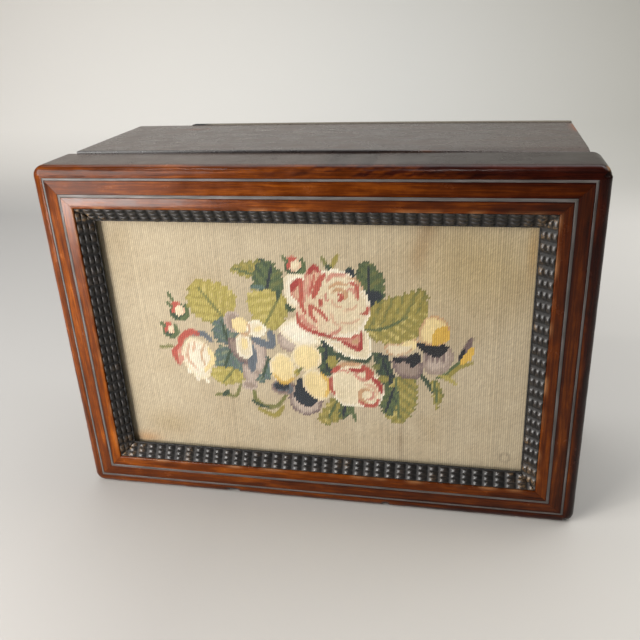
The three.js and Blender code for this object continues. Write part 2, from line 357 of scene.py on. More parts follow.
def face_out(mesh, sharp_angle):
    """Turns every face outwards, and keeps edges sharper than the angle crisp."""
    shell = bmesh.new()
    shell.from_mesh(mesh)
    bmesh.ops.recalc_face_normals(shell, faces=shell.faces)
    limit = math.radians(sharp_angle)
    for face in shell.faces:
        face.smooth = True
    for edge in shell.edges:
        edge.smooth = len(edge.link_faces) == 2 and edge.calc_face_angle(0.0) < limit
    shell.to_mesh(mesh)
    shell.free()


def settle(piece, slot, stands_for):
    """Gives a piece its material and sets it on the part in place of its solids."""
    coat(piece.data, slot)
    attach(piece, "root")
    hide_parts(*stands_for)
    return piece


def loft(rings):
    """Faces and texture places of a closed bar, from rings of points given as an array (ring, point, 3).
    Its sides fill the texture but for a strip at the right, where its two ends are small ovals."""
    ring_count, count = rings.shape[:2]
    index = np.arange(ring_count * count).reshape(ring_count, count)
    following = np.roll(index, -1, axis=1)
    quads = np.stack([index[:-1], following[:-1], following[1:], index[1:]], -1).reshape(-1, 4)
    faces = [*quads.tolist(), index[0].tolist(), index[-1][::-1].tolist()]
    middle = rings[ring_count // 2]
    steps = np.linalg.norm(np.roll(middle, -1, axis=0) - middle, axis=1)
    around = np.concatenate([[0], np.cumsum(steps)]) / steps.sum()
    lengths = np.linalg.norm(np.diff(rings.mean(1), axis=0), axis=1)
    along = np.concatenate([[0], np.cumsum(lengths)]) / lengths.sum() * 0.96
    u0, v0 = np.meshgrid(along[:-1], around[:-1], indexing="ij")
    u1, v1 = np.meshgrid(along[1:], around[1:], indexing="ij")
    sides = np.stack([np.stack(p, -1) for p in ((u0, v0), (u0, v1), (u1, v1), (u1, v0))], 2).reshape(-1, 2)
    angle = np.linspace(0, 2 * math.pi, count, endpoint=False)
    circle = np.stack([0.98 + 0.015 * np.cos(angle), 0.05 + 0.04 * np.sin(angle)], -1)
    return faces, np.concatenate([sides, circle, circle[::-1] + (0, 0.1)])


# The lid


def place(side, along, inwards, depth):
    """Points of a lid side, which is thought of as lying along X, in its place on the lid."""
    _, _, reach, turn = side
    across = inwards - reach
    x = along * math.cos(turn) + across * math.sin(turn)
    z = -along * math.sin(turn) + across * math.cos(turn)
    return np.stack([x, FACE_Y + depth, LID_HEIGHT / 2 + z], -1)


def face_depth(inwards):
    """How far the rail's face lies behind its crest, as it slopes up from the nose."""
    share = np.clip((inwards - NOSE_WIDTH) / (CREST_START - NOSE_WIDTH), 0, 1)
    return SHOULDER_DEPTH * (1 - share)


def spread(first, last, step):
    """Points on the straight line between two section points, at most a step apart, without the last."""
    first, last = np.array(first, float), np.array(last, float)
    count = max(1, math.ceil(np.linalg.norm(last - first) / step))
    return [first + (last - first) * k / count for k in range(count)]


def outline(corners, step):
    """Points round a closed section, at most a step apart, from its corners."""
    points = []
    for first, last in zip(corners, corners[1:] + corners[:1]):
        points += spread(first, last, step)
    return np.array(points)


def rail_section():
    """The lid rail's section, as (distance inwards, depth) going round it, with its edges eased."""
    corners = [(BACK_EASE, LID_DEPTH), (0, LID_DEPTH - BACK_EASE), (0, NOSE_DEPTH + NOSE_EASE)]
    for step in range(NOSE_STEPS + 1):
        angle = step / NOSE_STEPS * math.pi / 2
        depth = NOSE_DEPTH - (NOSE_DEPTH - SHOULDER_DEPTH) * math.sin(angle)
        corners.append((NOSE_WIDTH * (1 - math.cos(angle)), depth))
    for centre, width in (OUTER_STRING, INNER_STRING):
        near, far = centre - width / 2 - GLUE_LINE, centre + width / 2 + GLUE_LINE
        floor = face_depth(centre) + STRING_DEPTH + BED_GAP
        corners += [
            (near - BED_BEVEL, face_depth(near - BED_BEVEL)),
            (near, face_depth(near) + BED_BEVEL),
            (near, floor),
            (far, floor),
            (far, face_depth(far) + BED_BEVEL),
            (far + BED_BEVEL, face_depth(far + BED_BEVEL)),
        ]
    corners.append((CREST_START + CREST_EASE, 0.0))
    for step in range(INNER_STEPS + 1):
        angle = step / INNER_STEPS * math.pi / 2
        into = RAIL_FACE - INNER_EASE * (1 - math.sin(angle))
        corners.append((into, INNER_EASE * (1 - math.cos(angle))))
    corners += [(RAIL_FACE, LIP_DEPTH), (RAIL_WALL, LIP_DEPTH), (RAIL_WALL, LID_DEPTH)]
    return outline(corners, step=2.0)


def corner_rings(section, length, spacing):
    """Where each section point lies along the side, ring by ring, from mitre to mitre."""
    inwards, depth = section.T
    half = length / 2 - MITRE_GAP
    rows = []
    for step in range(CORNER_STEPS + 1):
        angle = (1 - step / CORNER_STEPS) * math.pi / 4
        radius = CORNER_RADIUS - inwards
        round_along = CORNER_RADIUS - radius * math.sin(angle)
        round_into = CORNER_RADIUS - radius * math.cos(angle)
        straight = inwards + (1 - angle / (math.pi / 4)) * MITRE_LEAD
        soft = inwards < CORNER_RADIUS
        rows.append((-half + np.where(soft, round_along, straight), np.where(soft, round_into, inwards)))
    count = math.ceil((length - 60) / spacing)
    start = rows[-1][0]
    middle = [(start + (-start - start) * k / count, inwards) for k in range(1, count)]
    ends = [(-along, into) for along, into in reversed(rows)]
    along, into = np.moveaxis(np.array(rows + middle + ends), 1, 0)
    return along, into.copy(), np.tile(depth, (len(along), 1))


# Chips in the lid's nose, by side: place along it, half length, how far it bites
CHIPS = {
    "lower": [(-56.0, 4.0, 0.7), (42.0, 2.2, 0.6), (148.5, 2.0, 0.8)],
    "right": [(101.5, 1.4, 0.5)],
}


def rail_shade(x, z, into, depth):
    """How dark the lid's wood is drawn: darker to the right, most near the top, which is partly darkened
    polish and partly painted shade of the light from the left; darker towards the bottom; and darker on the
    nose, mottled and most at the right, where its outer part is painted shade.
    """
    rise = np.clip(z / LID_HEIGHT, 0, 1)
    rightwards = smooth_step(-70, 150, x) * (0.45 + 0.55 * rise)
    nose = smooth_step(NOSE_WIDTH + 0.5, NOSE_WIDTH - 2.0, into)
    outside = smooth_step(1.0, NOSE_DEPTH - 1.5, depth) * nose
    mottle = smooth_step(-0.25, 0.55, waves(61, 10, 26.0, x, z, into * 2))
    shade = 0.85 * rightwards + 0.35 * smooth_step(40, 0, z)
    shade += nose * mottle * (0.12 + 0.6 * smooth_step(-60, 40, x) * rise)
    return shade + 0.9 * outside * smooth_step(40, 130, x) + 0.25 * outside


def chip_nose(name, order, along, into, depth):
    """Bites a side's chips out of its nose, and tells how much of a chip is at each point."""
    chipped = np.zeros(along.shape)
    for place_along, half_length, bite in CHIPS.get(name, ()):
        ragged = half_length * (1 + 0.25 * waves(order + 29, 5, 6.0, into * 2, depth * 2))
        reach = smooth_step(ragged + 0.5, ragged - 0.7, np.abs(along - place_along))
        here = reach * smooth_step(9.5, 7.0, depth) * smooth_step(4.6, 3.4, into)
        into += here * bite
        depth += here * bite * 0.8
        chipped = np.maximum(chipped, here)
    return chipped


def make_lid_rail(side, order):
    name, length, _, _ = side
    along, into, depth = corner_rings(rail_section(), length, spacing=1.5)
    nose = smooth_step(9.0, 5.0, depth) * smooth_step(NOSE_WIDTH + 0.3, NOSE_WIDTH - 1.5, into)
    dents = waves(order + 11, 9, 60.0, along, into * 3)
    into += nose * 0.10 * (dents + 1)
    depth += nose * 0.10 * dents
    chipped = chip_nose(name, order, along, into, depth)
    # Darker just beside the strings: painted shade in the narrow grooves they are set in.
    string_groove_shade = sum(
        np.exp(-(((into - centre) / (width / 2 + 0.30)) ** 8))
        for centre, width in (OUTER_STRING, INNER_STRING)
    )
    points = place(side, along, into, depth)
    shade = rail_shade(points[..., 0], points[..., 2], into, depth)
    shade += 0.20 * smooth_step(0.1, 0.9, waves(order + 3, 7, 90.0, along, into * 4))
    shade = np.clip(shade + 0.95 * chipped + 0.6 * string_groove_shade, 0, 1)
    # The lid's sides behind the nose take the stained tone: the dark staining of the sides, lightened to a
    # grey that is painted sheen.
    stain = smooth_step(NOSE_DEPTH - 1.0, NOSE_DEPTH + 2.0, depth) * (into < RAIL_WALL)
    stain = np.maximum(stain, 0.8 * chipped)
    # A pale line along the rail's eased inner edge is a painted highlight; the top right corner is pale
    # from wear.
    inner_edge_highlight = np.exp(-(((into - RAIL_FACE + 0.4) / 0.5) ** 2)) * (depth < 2)
    worn = 0.35 * inner_edge_highlight * smooth_step(-0.2, 0.7, waves(order + 41, 6, 70.0, along))
    corner_gap = np.hypot(points[..., 0] - LID_WIDTH / 2, points[..., 2] - LID_HEIGHT)
    worn = np.maximum(worn, 0.9 * smooth_step(4.2, 2.4, corner_gap) * (depth < NOSE_DEPTH + 1))
    grain = np.stack([along + order * 400, into + order * 57, depth], -1)
    faces, uvs = loft(points)
    attributes = {"grain": grain, "shade": shade, "stain": stain, "worn": worn}
    node = f"lid_rail_{name}"
    add_piece(f"{node}_shaped", points, faces, "lid_wood", [node], uvs, attributes)


def make_string(kind, string, side, order):
    name, length, _, _ = side
    centre, width = string
    near, far = centre - width / 2, centre + width / 2
    floor = face_depth(centre) + STRING_DEPTH
    corners = [
        (near, floor),
        (near, face_depth(near) + STRING_EASE),
        (near + STRING_EASE, face_depth(near + STRING_EASE)),
        (centre, face_depth(centre) - 0.04),
        (far - STRING_EASE, face_depth(far - STRING_EASE)),
        (far, face_depth(far) + STRING_EASE),
        (far, floor),
    ]
    section = np.array(corners)
    half = length / 2 - MITRE_GAP
    count = math.ceil(length / 3)
    share = np.linspace(-1, 1, count)[:, None]
    along = share * (half - section[:, 0])
    into = np.broadcast_to(section[:, 0], along.shape)
    depth = section[:, 1] + 0.04 * waves(order + 71, 6, 40.0, along) * (section[:, 1] < floor - 0.3)
    points = place(side, along, into, depth)
    grain = np.stack([along + order * 300, into, depth], -1)
    faces, uvs = loft(points)
    node = f"{kind}_string_{name}"
    add_piece(f"{node}_inlaid", points, faces, "string_metal", [node], uvs, {"grain": grain})


def ripple_point(share, lift):
    """A point on the moulding's slope: share 0 is next to the wood, and 1 is at the lip."""
    run, fall = RIPPLE_END[0] - RIPPLE_START[0], RIPPLE_END[1] - RIPPLE_START[1]
    length = math.hypot(run, fall)
    inwards = RIPPLE_START[0] + share * run + lift * fall / length
    depth = RIPPLE_START[1] + share * fall - lift * run / length
    return RAIL_FACE + inwards, depth


def walled(before, middle, after):
    """A grid of values with columns of one value each set before it and after it."""
    rows = (len(middle), 1)
    return np.concatenate([np.tile(before, rows), middle, np.tile(after, rows)], 1)


def make_ripple(side, order):
    name, length, _, _ = side
    ripple_total = 2 * math.ceil((length / 2 - RAIL_FACE) / RIPPLE_PITCH) + 1
    along_line = np.arange(ripple_total * RIPPLE_STEPS_ALONG + 1) / RIPPLE_STEPS_ALONG
    along_line = (along_line - ripple_total / 2) * RIPPLE_PITCH
    shares = np.linspace(0, 1, RIPPLE_ROWS * RIPPLE_STEPS_ACROSS + 1)
    along, share = np.meshgrid(along_line, shares, indexing="ij")
    wander = 0.25 * waves(order + 5, 6, 90.0, along)
    ripple = (along + wander) / RIPPLE_PITCH
    turn_along = np.abs(ripple - np.round(ripple)) * 2
    pad = np.clip(1 - (turn_along / RIPPLE_LENGTH_SHARE) ** 2, 0, 1)
    row_phase = share * RIPPLE_ROWS
    row = np.minimum(np.floor(row_phase), RIPPLE_ROWS - 1)
    across_row = 2 * (row_phase - row) - 1
    bead = 0.30 + 0.70 * np.sqrt(np.clip(1 - across_row**2, 0, 1))
    unlike = 1 + 0.12 * waves(order + 9, 8, 9.0, along, row * 7)
    height = RIPPLE_HEIGHT + 0.20 * row / (RIPPLE_ROWS - 1)
    # The hollows between ripples and between rows are drawn darker: partly grime, partly painted shade.
    between_ripples = smooth_step(0.45, 0.85, turn_along)
    between_rows = smooth_step(0.6, 0.95, np.abs(across_row))
    hollow = np.maximum(between_ripples, between_rows)
    lift = bead * height * pad * unlike - RIPPLE_SUNK
    into, depth = ripple_point(share, lift)
    near, far = RAIL_FACE + RIPPLE_SIDE_GAP, RAIL_FACE + RIPPLE_WIDTH
    back = LIP_DEPTH - RIPPLE_BACK_GAP
    lip = RIPPLE_LIP - 0.1
    into = walled((near, near), np.clip(into, near, far - 0.25), (far - 0.1, far, far))
    depth = walled((back, RIPPLE_WALL_TOP), depth, (lip, lip + 0.2, back))
    depth[:, 1] = np.maximum(depth[:, 1], depth[:, 2] + 0.1)
    hollow = walled((1, 1), hollow, (1, 1, 1))
    along = np.repeat(along_line[:, None], into.shape[1], 1)
    points = place(side, along, into, depth)
    corner_gap = length / 2 - np.abs(along) - into
    corner = smooth_step(16.0, 0.0, corner_gap)
    rubbed = smooth_step(0.2, 0.8, waves(order + 17, 7, 50.0, along, into))
    wear_share = {"right": 0.75, "upper": 0.35, "lower": 0.3, "left": 0.2}[name]
    worn = np.clip(0.9 * corner * smooth_step(-0.5, 0.5, waves(order + 2, 6, 12.0, along, into)), 0, 1)
    worn = np.maximum(worn, wear_share * rubbed)
    grain = np.stack([along + order * 350, into, depth], -1)
    faces, _ = loft(points)
    attributes = {"grain": grain, "worn": worn, "hollow": hollow}
    node = f"ripple_{name}"
    piece = add_piece(f"{node}_moulding", points, faces, "ebonised_wood", [node], None, attributes, 70.0)
    trim_to_mitres(piece, side)


def trim_to_mitres(piece, side):
    """Cuts a bar's two ends to the lid's mitres and closes the cuts."""
    half = side[1] / 2 - MITRE_GAP
    flat = np.array(0.0)
    shell = bmesh.new()
    shell.from_mesh(piece.data)
    for end in (-1, 1):
        corner = place(side, np.array(end * half), flat, flat) * MM
        outwards = place(side, np.array(end * (half + 1)), flat + 1, flat) * MM
        normal = outwards - corner
        everything = [*shell.verts, *shell.edges, *shell.faces]
        cut = bmesh.ops.bisect_plane(
            shell, geom=everything, plane_co=corner, plane_no=normal, clear_outer=True, dist=1e-7
        )
        edges = [item for item in cut["geom_cut"] if isinstance(item, bmesh.types.BMEdge)]
        bmesh.ops.contextual_create(shell, geom=edges)
    bmesh.ops.recalc_face_normals(shell, faces=shell.faces)
    shell.to_mesh(piece.data)
    shell.free()
    flat_map(piece.data, side)


def flat_map(mesh, side):
    """A texture map that looks straight at the moulding's face, with its back in a strip of its own."""
    _, length, reach, turn = side
    layer = mesh.uv_layers.new(name="OFBake")
    points = np.array([v.co for v in mesh.vertices]) / MM
    x, z = points[:, 0], points[:, 2] - LID_HEIGHT / 2
    along = x * math.cos(turn) - z * math.sin(turn)
    across = x * math.sin(turn) + z * math.cos(turn)
    depth = points[:, 1] - FACE_Y
    u = 0.5 + 0.98 * along / length
    v = (across + reach - RAIL_FACE) / RIPPLE_WIDTH
    for face in mesh.polygons:
        hidden = face.normal.y > -0.02
        for loop, vertex in zip(face.loop_indices, face.vertices):
            rise = depth[vertex] / LIP_DEPTH
            low = 0.01 + 0.15 * v[vertex] + 0.08 * rise if hidden else 0.27 + 0.71 * v[vertex]
            layer.data[loop].uv = (u[vertex], low)


# The needlework

# The wools, as colours on screen
WOOLS = {
    "ground": (195, 180, 151),
    "cream": (230, 216, 184),
    "white": (243, 235, 214),
    "blush": (216, 178, 150),
    "pink": (206, 146, 128),
    "red": (184, 92, 78),
    "deep_red": (168, 68, 62),
    "tan": (200, 160, 122),
    "yellow": (238, 217, 162),
    "gold": (222, 182, 84),
    "straw": (208, 192, 124),
    "lime": (180, 167, 92),
    "sage": (152, 156, 124),
    "olive": (156, 144, 76),
    "moss": (124, 124, 74),
    "green": (94, 108, 72),
    "pine": (66, 82, 64),
    "teal": (96, 116, 108),
    "slate": (104, 112, 120),
    "navy": (48, 54, 62),
    "ink": (42, 42, 46),
    "mauve": (160, 142, 130),
    "pale_mauve": (194, 178, 164),
    "dusk": (122, 104, 102),
}
LINEAR_WOOLS = {name: linear(colour) for name, colour in WOOLS.items()}


def smooth_curve(points, closed):
    """A smooth line through a few points, with five steps from each point to the next."""
    points = np.array(points, float)
    if closed:
        guides = np.concatenate([points[-1:], points, points[:2]])
    else:
        guides = np.concatenate([2 * points[:1] - points[1:2], points, 2 * points[-1:] - points[-2:-1]])
    curve = []
    for before, first, last, after in zip(guides, guides[1:], guides[2:], guides[3:]):
        for t in np.arange(5) / 5:
            bend = 2 * before - 5 * first + 4 * last - after
            twist = 3 * first - before - 3 * last + after
            curve.append((2 * first + (last - before) * t + bend * t**2 + twist * t**3) / 2)
    if not closed:
        curve.append(points[-1])
    return np.array(curve)


def oval(centre, radii, turn=0.0):
    """Eight points round an oval."""
    angle, lean = np.arange(8) * math.pi / 4, math.radians(turn)
    a, b = radii[0] * np.cos(angle), radii[1] * np.sin(angle)
    x = centre[0] + a * math.cos(lean) - b * math.sin(lean)
    return np.stack([x, centre[1] + a * math.sin(lean) + b * math.cos(lean)], -1)


class Picture:
    """Stitch colours, painted figure over figure. Places are in mm from the middle of the canvas."""

    def __init__(self, x, z):
        self.x, self.z = x, z
        self.colour = np.empty((*x.shape, 3))
        self.colour[:] = LINEAR_WOOLS["ground"]
        self.fray = 0.45 * np.random.default_rng(23).standard_normal(x.shape)

    def tint(self, share, wool):
        """Mixes a wool into the picture, by a share from 0 to 1 at each stitch."""
        share = np.clip(share, 0, 1)[..., None]
        self.colour = self.colour * (1 - share) + LINEAR_WOOLS[wool] * share

    def away(self, first, last):
        """Each stitch's distance from a straight piece of line, and how far along it that is."""
        run = last - first
        along = (self.x - first[0]) * run[0] + (self.z - first[1]) * run[1]
        share = np.clip(along / max(run @ run, 1e-9), 0, 1)
        return np.hypot(self.x - first[0] - share * run[0], self.z - first[1] - share * run[1]), share

    def depth_in(self, points):
        """How deep each stitch lies inside a smooth closed outline, below 0 outside it."""
        curve = smooth_curve(points, True)
        inside = np.zeros(self.x.shape, bool)
        nearest = np.full(self.x.shape, np.inf)
        for first, last in zip(curve, np.roll(curve, -1, axis=0)):
            nearest = np.minimum(nearest, self.away(first, last)[0])
            rise = last[1] - first[1]
            if rise:
                crossing = first[0] + (self.z - first[1]) * (last[0] - first[0]) / rise
                inside ^= ((first[1] > self.z) != (last[1] > self.z)) & (self.x < crossing)
        return np.where(inside, nearest, -nearest)

    def petal(self, points, heart, edge, fade=3.0):
        """A patch of one wool that turns to another within a distance from its edge."""
        depth = self.depth_in(points)
        self.tint(depth > 0, heart)
        self.tint((depth > 0) * smooth_step(fade, 0, depth + self.fray), edge)

    def stroke(self, points, width, wool, strength=1.0):
        """A brush stroke along a smooth line, thinner at its ends."""
        curve = smooth_curve(points, False)
        pieces = len(curve) - 1
        for number, (first, last) in enumerate(zip(curve, curve[1:])):
            away, share = self.away(first, last)
            along = (number + share) / pieces
            half = width / 2 * (0.45 + 0.55 * np.sin(math.pi * along) ** 0.6)
            self.tint(strength * smooth_step(half + 0.5, half - 0.3, away), wool)

    def leaf(self, points, rib, wools, shady=1):
        """A toothed leaf with a midrib. wools are its light, body, shade and vein."""
        light, body, shade, vein = wools
        first, last = np.array(rib[0], float), np.array(rib[-1], float)
        run = last - first
        run /= np.hypot(*run)
        along = (self.x - first[0]) * run[0] + (self.z - first[1]) * run[1]
        aside = (self.z - first[1]) * run[0] - (self.x - first[0]) * run[1]
        folds = np.sin(2 * math.pi * (along - 0.9 * np.abs(aside)) / FOLD_PITCH)
        teeth = np.sin(2 * math.pi * along / TOOTH_PITCH)
        depth = self.depth_in(points) + 0.7 * teeth + 0.4 * self.fray
        inside = depth > 0.2
        in_shade = np.where(aside * shady > 0, 1.0, 0.35)
        self.tint(inside, body)
        patches = waves(37, 8, 12.0, self.x, self.z) * 2.4 + 0.35 * self.fray
        self.tint(inside * (1.0 - 0.7 * in_shade) * smooth_step(0.0, 1.5, 0.8 * folds + patches), light)
        self.tint(inside * (0.2 + 0.7 * in_shade) * smooth_step(0.1, 1.2, patches * 0.7 - folds), shade)
        self.tint(inside * 0.4 * in_shade * smooth_step(1.6, 0.4, depth), vein)
        self.stroke(rib, 1.5, vein)


# The leaves' wools, as light, body, shade and vein
GOLD_LEAF = ("straw", "olive", "moss", "green")
BRIGHT_LEAF = ("straw", "lime", "olive", "moss")
GREEN_LEAF = ("moss", "green", "pine", "navy")
DARK_LEAF = ("green", "pine", "navy", "navy")
BLUE_LEAF = ("sage", "teal", "slate", "pine")


def paint_upper_leaves(picture):
    leaf, petal, stroke = picture.leaf, picture.petal, picture.stroke
    leaf([(-46, 46), (-35, 51), (-25, 50), (-25, 41), (-38, 41)], [(-26, 41), (-43, 46)], GOLD_LEAF, -1)
    leaf([(-28, 51), (-19, 49), (-14, 40), (-17, 32), (-33, 35)], [(-25, 33), (-21, 48)], GREEN_LEAF)
    leaf([(-36, 32), (-18, 33), (-12, 24), (-20, 9), (-34, 14)], [(-17, 31), (-28, 11)], BRIGHT_LEAF)
    petal(oval((-11.5, 24), (3.2, 3.6)), "pine", "green", 1.5)
    stroke([(-18, 34), (-19, 28)], 2.2, "pine")
    stroke([(-34, 35), (-26, 35)], 2.6, "teal")
    edge = [(-74, 26), (-68, 38), (-52, 37), (-43, 28), (-51, 13), (-68, 14)]
    leaf(edge, [(-50, 12), (-66, 34)], BRIGHT_LEAF)
    leaf([(-58, 14), (-50, 15), (-45, 5), (-51, -3), (-60, 2)], [(-51, -1), (-54, 13)], BLUE_LEAF)
    edge = [(31, 28), (26, 45), (33, 53), (41, 45), (43, 38), (41, 30), (36, 25)]
    leaf(edge, [(33, 28), (34, 50)], GREEN_LEAF)
    petal([(30, 34), (36, 36), (42, 33), (38, 28), (35, 25), (31, 29)], "navy", "pine", 1.2)
    petal(oval((23.5, 45), (2.8, 3.8)), "navy", "pine", 1.0)
    edge = [(28, 11), (35, 27), (49, 33), (64, 37), (66, 22), (58, 5), (42, 3)]
    leaf(edge, [(29, 11), (42, 13), (54, 20)], GOLD_LEAF)


def paint_lower_leaves(picture):
    leaf, petal, stroke = picture.leaf, picture.petal, picture.stroke
    leaf([(-58, -4), (-50, -5), (-42, -16), (-43, -25), (-62, -17)], [(-50, -5), (-56, -20)], BLUE_LEAF)
    edge = [(-62, -18), (-46, -18), (-43, -25), (-55, -30), (-64, -25)]
    leaf(edge, [(-49, -18), (-57, -28)], BRIGHT_LEAF)
    leaf([(6, 5), (13, -3), (15, -10), (10, -19), (3, -16)], [(7, 4), (8, -16)], DARK_LEAF)
    petal(oval((11, -10), (3.2, 4.6)), "olive", "moss", 1.5)
    petal(oval((5, -2.5), (2.8, 2.0)), "green", "pine", 1.0)
    stroke([(11, -4), (20, -7), (30, -8), (34, -3)], 4.4, "pine")
    leaf([(35, -4), (43, -4), (46, -13), (51, -24), (48, -35), (38, -16)], [(40, -5), (48, -30)], DARK_LEAF)
    edge = [(48, -17), (59, -18), (61, -28), (58, -41), (50, -49), (41, -42)]
    leaf(edge, [(48, -18), (50, -46)], GOLD_LEAF)
    leaf([(39, -28), (48, -24), (49, -36), (45, -44), (38, -38)], [(47, -25), (42, -41)], GREEN_LEAF)
    petal(oval((41, -19.5), (3.6, 2.4)), "olive", "moss", 1.5)
    petal(oval((37, -12), (2.4, 2.2)), "moss", "green", 1.0)
    leaf([(11, -33), (18, -38), (15, -49), (5, -53), (1, -48)], [(13, -36), (7, -49)], GOLD_LEAF)
    leaf([(15, -38), (21, -38), (20, -46), (14, -48)], [(18, -38), (16, -47)], GREEN_LEAF)
    stroke([(22, -37), (22, -42), (24, -49)], 2.4, "green")


def paint_stems(picture):
    leaf, stroke = picture.leaf, picture.stroke
    stroke([(-38, -32), (-37, -39), (-31, -43), (-24, -42), (-17, -33)], 2.6, "moss")
    stroke([(-40, -39), (-36, -42), (-29, -44)], 2.0, "pine")
    stroke([(-36, -45), (-26, -49), (-20, -42)], 3.2, "olive")
    stroke([(-63, -37), (-57, -36), (-50, -37), (-46, -29)], 2.0, "moss")
    stroke([(-58, -37), (-54, -34)], 2.8, "pine")
    stroke([(62, -15), (66, -20), (69, -26)], 2.6, "pine")
    leaf([(68, -18), (73, -20), (75, -30), (71, -37), (69, -28)], [(70, -19), (72, -34)], GOLD_LEAF)
    stroke([(71, -17), (77, -14), (82, -8), (88, -4)], 2.4, "green")
    stroke([(76, -18), (80, -13), (84, -9), (91, -6)], 2.6, "olive")
    stroke([(73, -15), (78, -17), (82, -20)], 2.4, "lime")
    stroke([(-85, 30), (-82, 24)], 1.8, "green")
    stroke([(8, 54), (11, 48)], 2.0, "moss")
    stroke([(17, 56), (13, 48)], 2.6, "olive")
    stroke([(11, 49), (13, 46.5)], 3.0, "pine")
    stroke([(-95, -6), (-86, -5)], 2.0, "moss")


def paint_right_pansy(picture):
    petal, stroke = picture.petal, picture.stroke
    petal([(64, 1), (78, 3), (80, -6), (74, -14), (65, -13)], "pale_mauve", "mauve", 5)
    petal([(46, -6), (58, -4), (64, -10), (60, -18), (50, -17)], "mauve", "dusk", 4)
    for x in (66, 69, 72, 75):
        stroke([(x, 0), (x - 0.5, -7)], 1.6, "dusk", 0.7)
    petal([(60, 5), (77, 4), (74, -2), (71, -3.5), (64, -1)], "ink", "ink")
    petal([(47, -5), (53, -5), (60, -1), (62, -6), (58, -11), (54, -8), (48, -8)], "ink", "ink")
    petal([(61, 6), (63, 18), (70, 22), (77, 17), (78, 8), (72, 4)], "yellow", "tan", 2.5)
    petal([(68, 5), (70, 13), (76, 16), (78, 9), (73, 4.5)], "gold", "gold")
    petal([(42, 3), (50, 4), (60, 7), (58, 0), (50, -4), (44, -3)], "cream", "tan", 2.0)
    stroke([(52, 3), (58, 5), (58, 1)], 3.0, "yellow")
    stroke([(84, -4), (87, 2), (90, 9)], 3.4, "dusk")
    stroke([(84, -4), (86, 2)], 2.4, "ink")
    petal([(84, -7), (87, 0), (91, 4), (90, -4)], "gold", "gold")


def paint_centre_pansy(picture):
    petal, stroke = picture.petal, picture.stroke
    petal(oval((-13, 3), (8, 8)), "pale_mauve", "mauve", 4)
    petal(oval((-19, -29), (8.5, 5.2)), "dusk", "mauve", 2.5)
    petal(oval((-6, -36), (10.5, 11.5)), "pale_mauve", "dusk", 3.5)
    petal(oval((-20, -28), (5.4, 3.6)), "navy", "slate", 1.0)
    petal([(-9, -22), (-2, -30), (1, -36), (-3, -41), (-9, -40), (-13, -34)], "navy", "navy")
    stroke([(-14, -29), (-16, -33)], 2.0, "slate")
    petal(oval((-19, -16), (7.8, 10.2)), "yellow", "cream", 2.5)
    petal(oval((-4, -8), (9.0, 9.2)), "yellow", "cream", 2.5)
    petal(oval((1, -26), (7.8, 10.8), 25), "yellow", "cream", 2.5)
    stroke([(4, -18), (9, -25), (6, -34)], 2.6, "gold", 0.6)
    stroke([(-25, -20), (-19, -26), (-12, -22)], 2.4, "gold", 0.6)
    petal(oval((-10, -18), (2.0, 2.2)), "olive", "lime", 1.5)
    stroke([(-10, -18), (-7, -15)], 1.4, "moss")


def paint_left_pansy(picture):
    leaf, petal, stroke = picture.leaf, picture.petal, picture.stroke
    petal(oval((-47, 13), (5.2, 7)), "mauve", "pale_mauve", 3)
    petal([(-50, 3), (-43, -1), (-38, -14), (-46, -12), (-51, -4)], "mauve", "dusk", 3)
    petal([(-36, 2), (-29, -1), (-29, -16), (-35, -20), (-38, -10)], "pale_mauve", "mauve", 3)
    petal([(-44, -15), (-36, -18), (-34, -25), (-42, -27)], "pale_mauve", "mauve", 3)
    petal(oval((-40, -29), (5, 3.4)), "mauve", "pale_mauve", 2)
    stroke([(-36, 3), (-30, 0), (-24, -2)], 4.6, "slate")
    stroke([(-25, 8), (-24, 3), (-24, -2)], 4.2, "slate")
    stroke([(-37, -2), (-37, -10), (-38, -19)], 5.0, "slate")
    petal(oval((-43, 11), (5.2, 4.8)), "yellow", "yellow", 2)
    petal(oval((-33, 9), (6.0, 5.4)), "cream", "white", 4)
    petal(oval((-41.5, -3), (5.4, 8.2), 8), "cream", "white", 3)
    stroke([(-41, 2), (-41, -4)], 4.0, "yellow", 0.8)
    stroke([(-38, 5), (-43, 5)], 1.4, "tan", 0.7)
    stroke([(-38, 13), (-37, 6)], 1.4, "tan", 0.6)
    stroke([(-34, 8), (-30, 10)], 2.4, "yellow", 0.7)
    leaf([(-28, -8), (-25, -20), (-31, -26), (-36, -24), (-30, -17)], [(-27, -9), (-32, -24)], BLUE_LEAF)


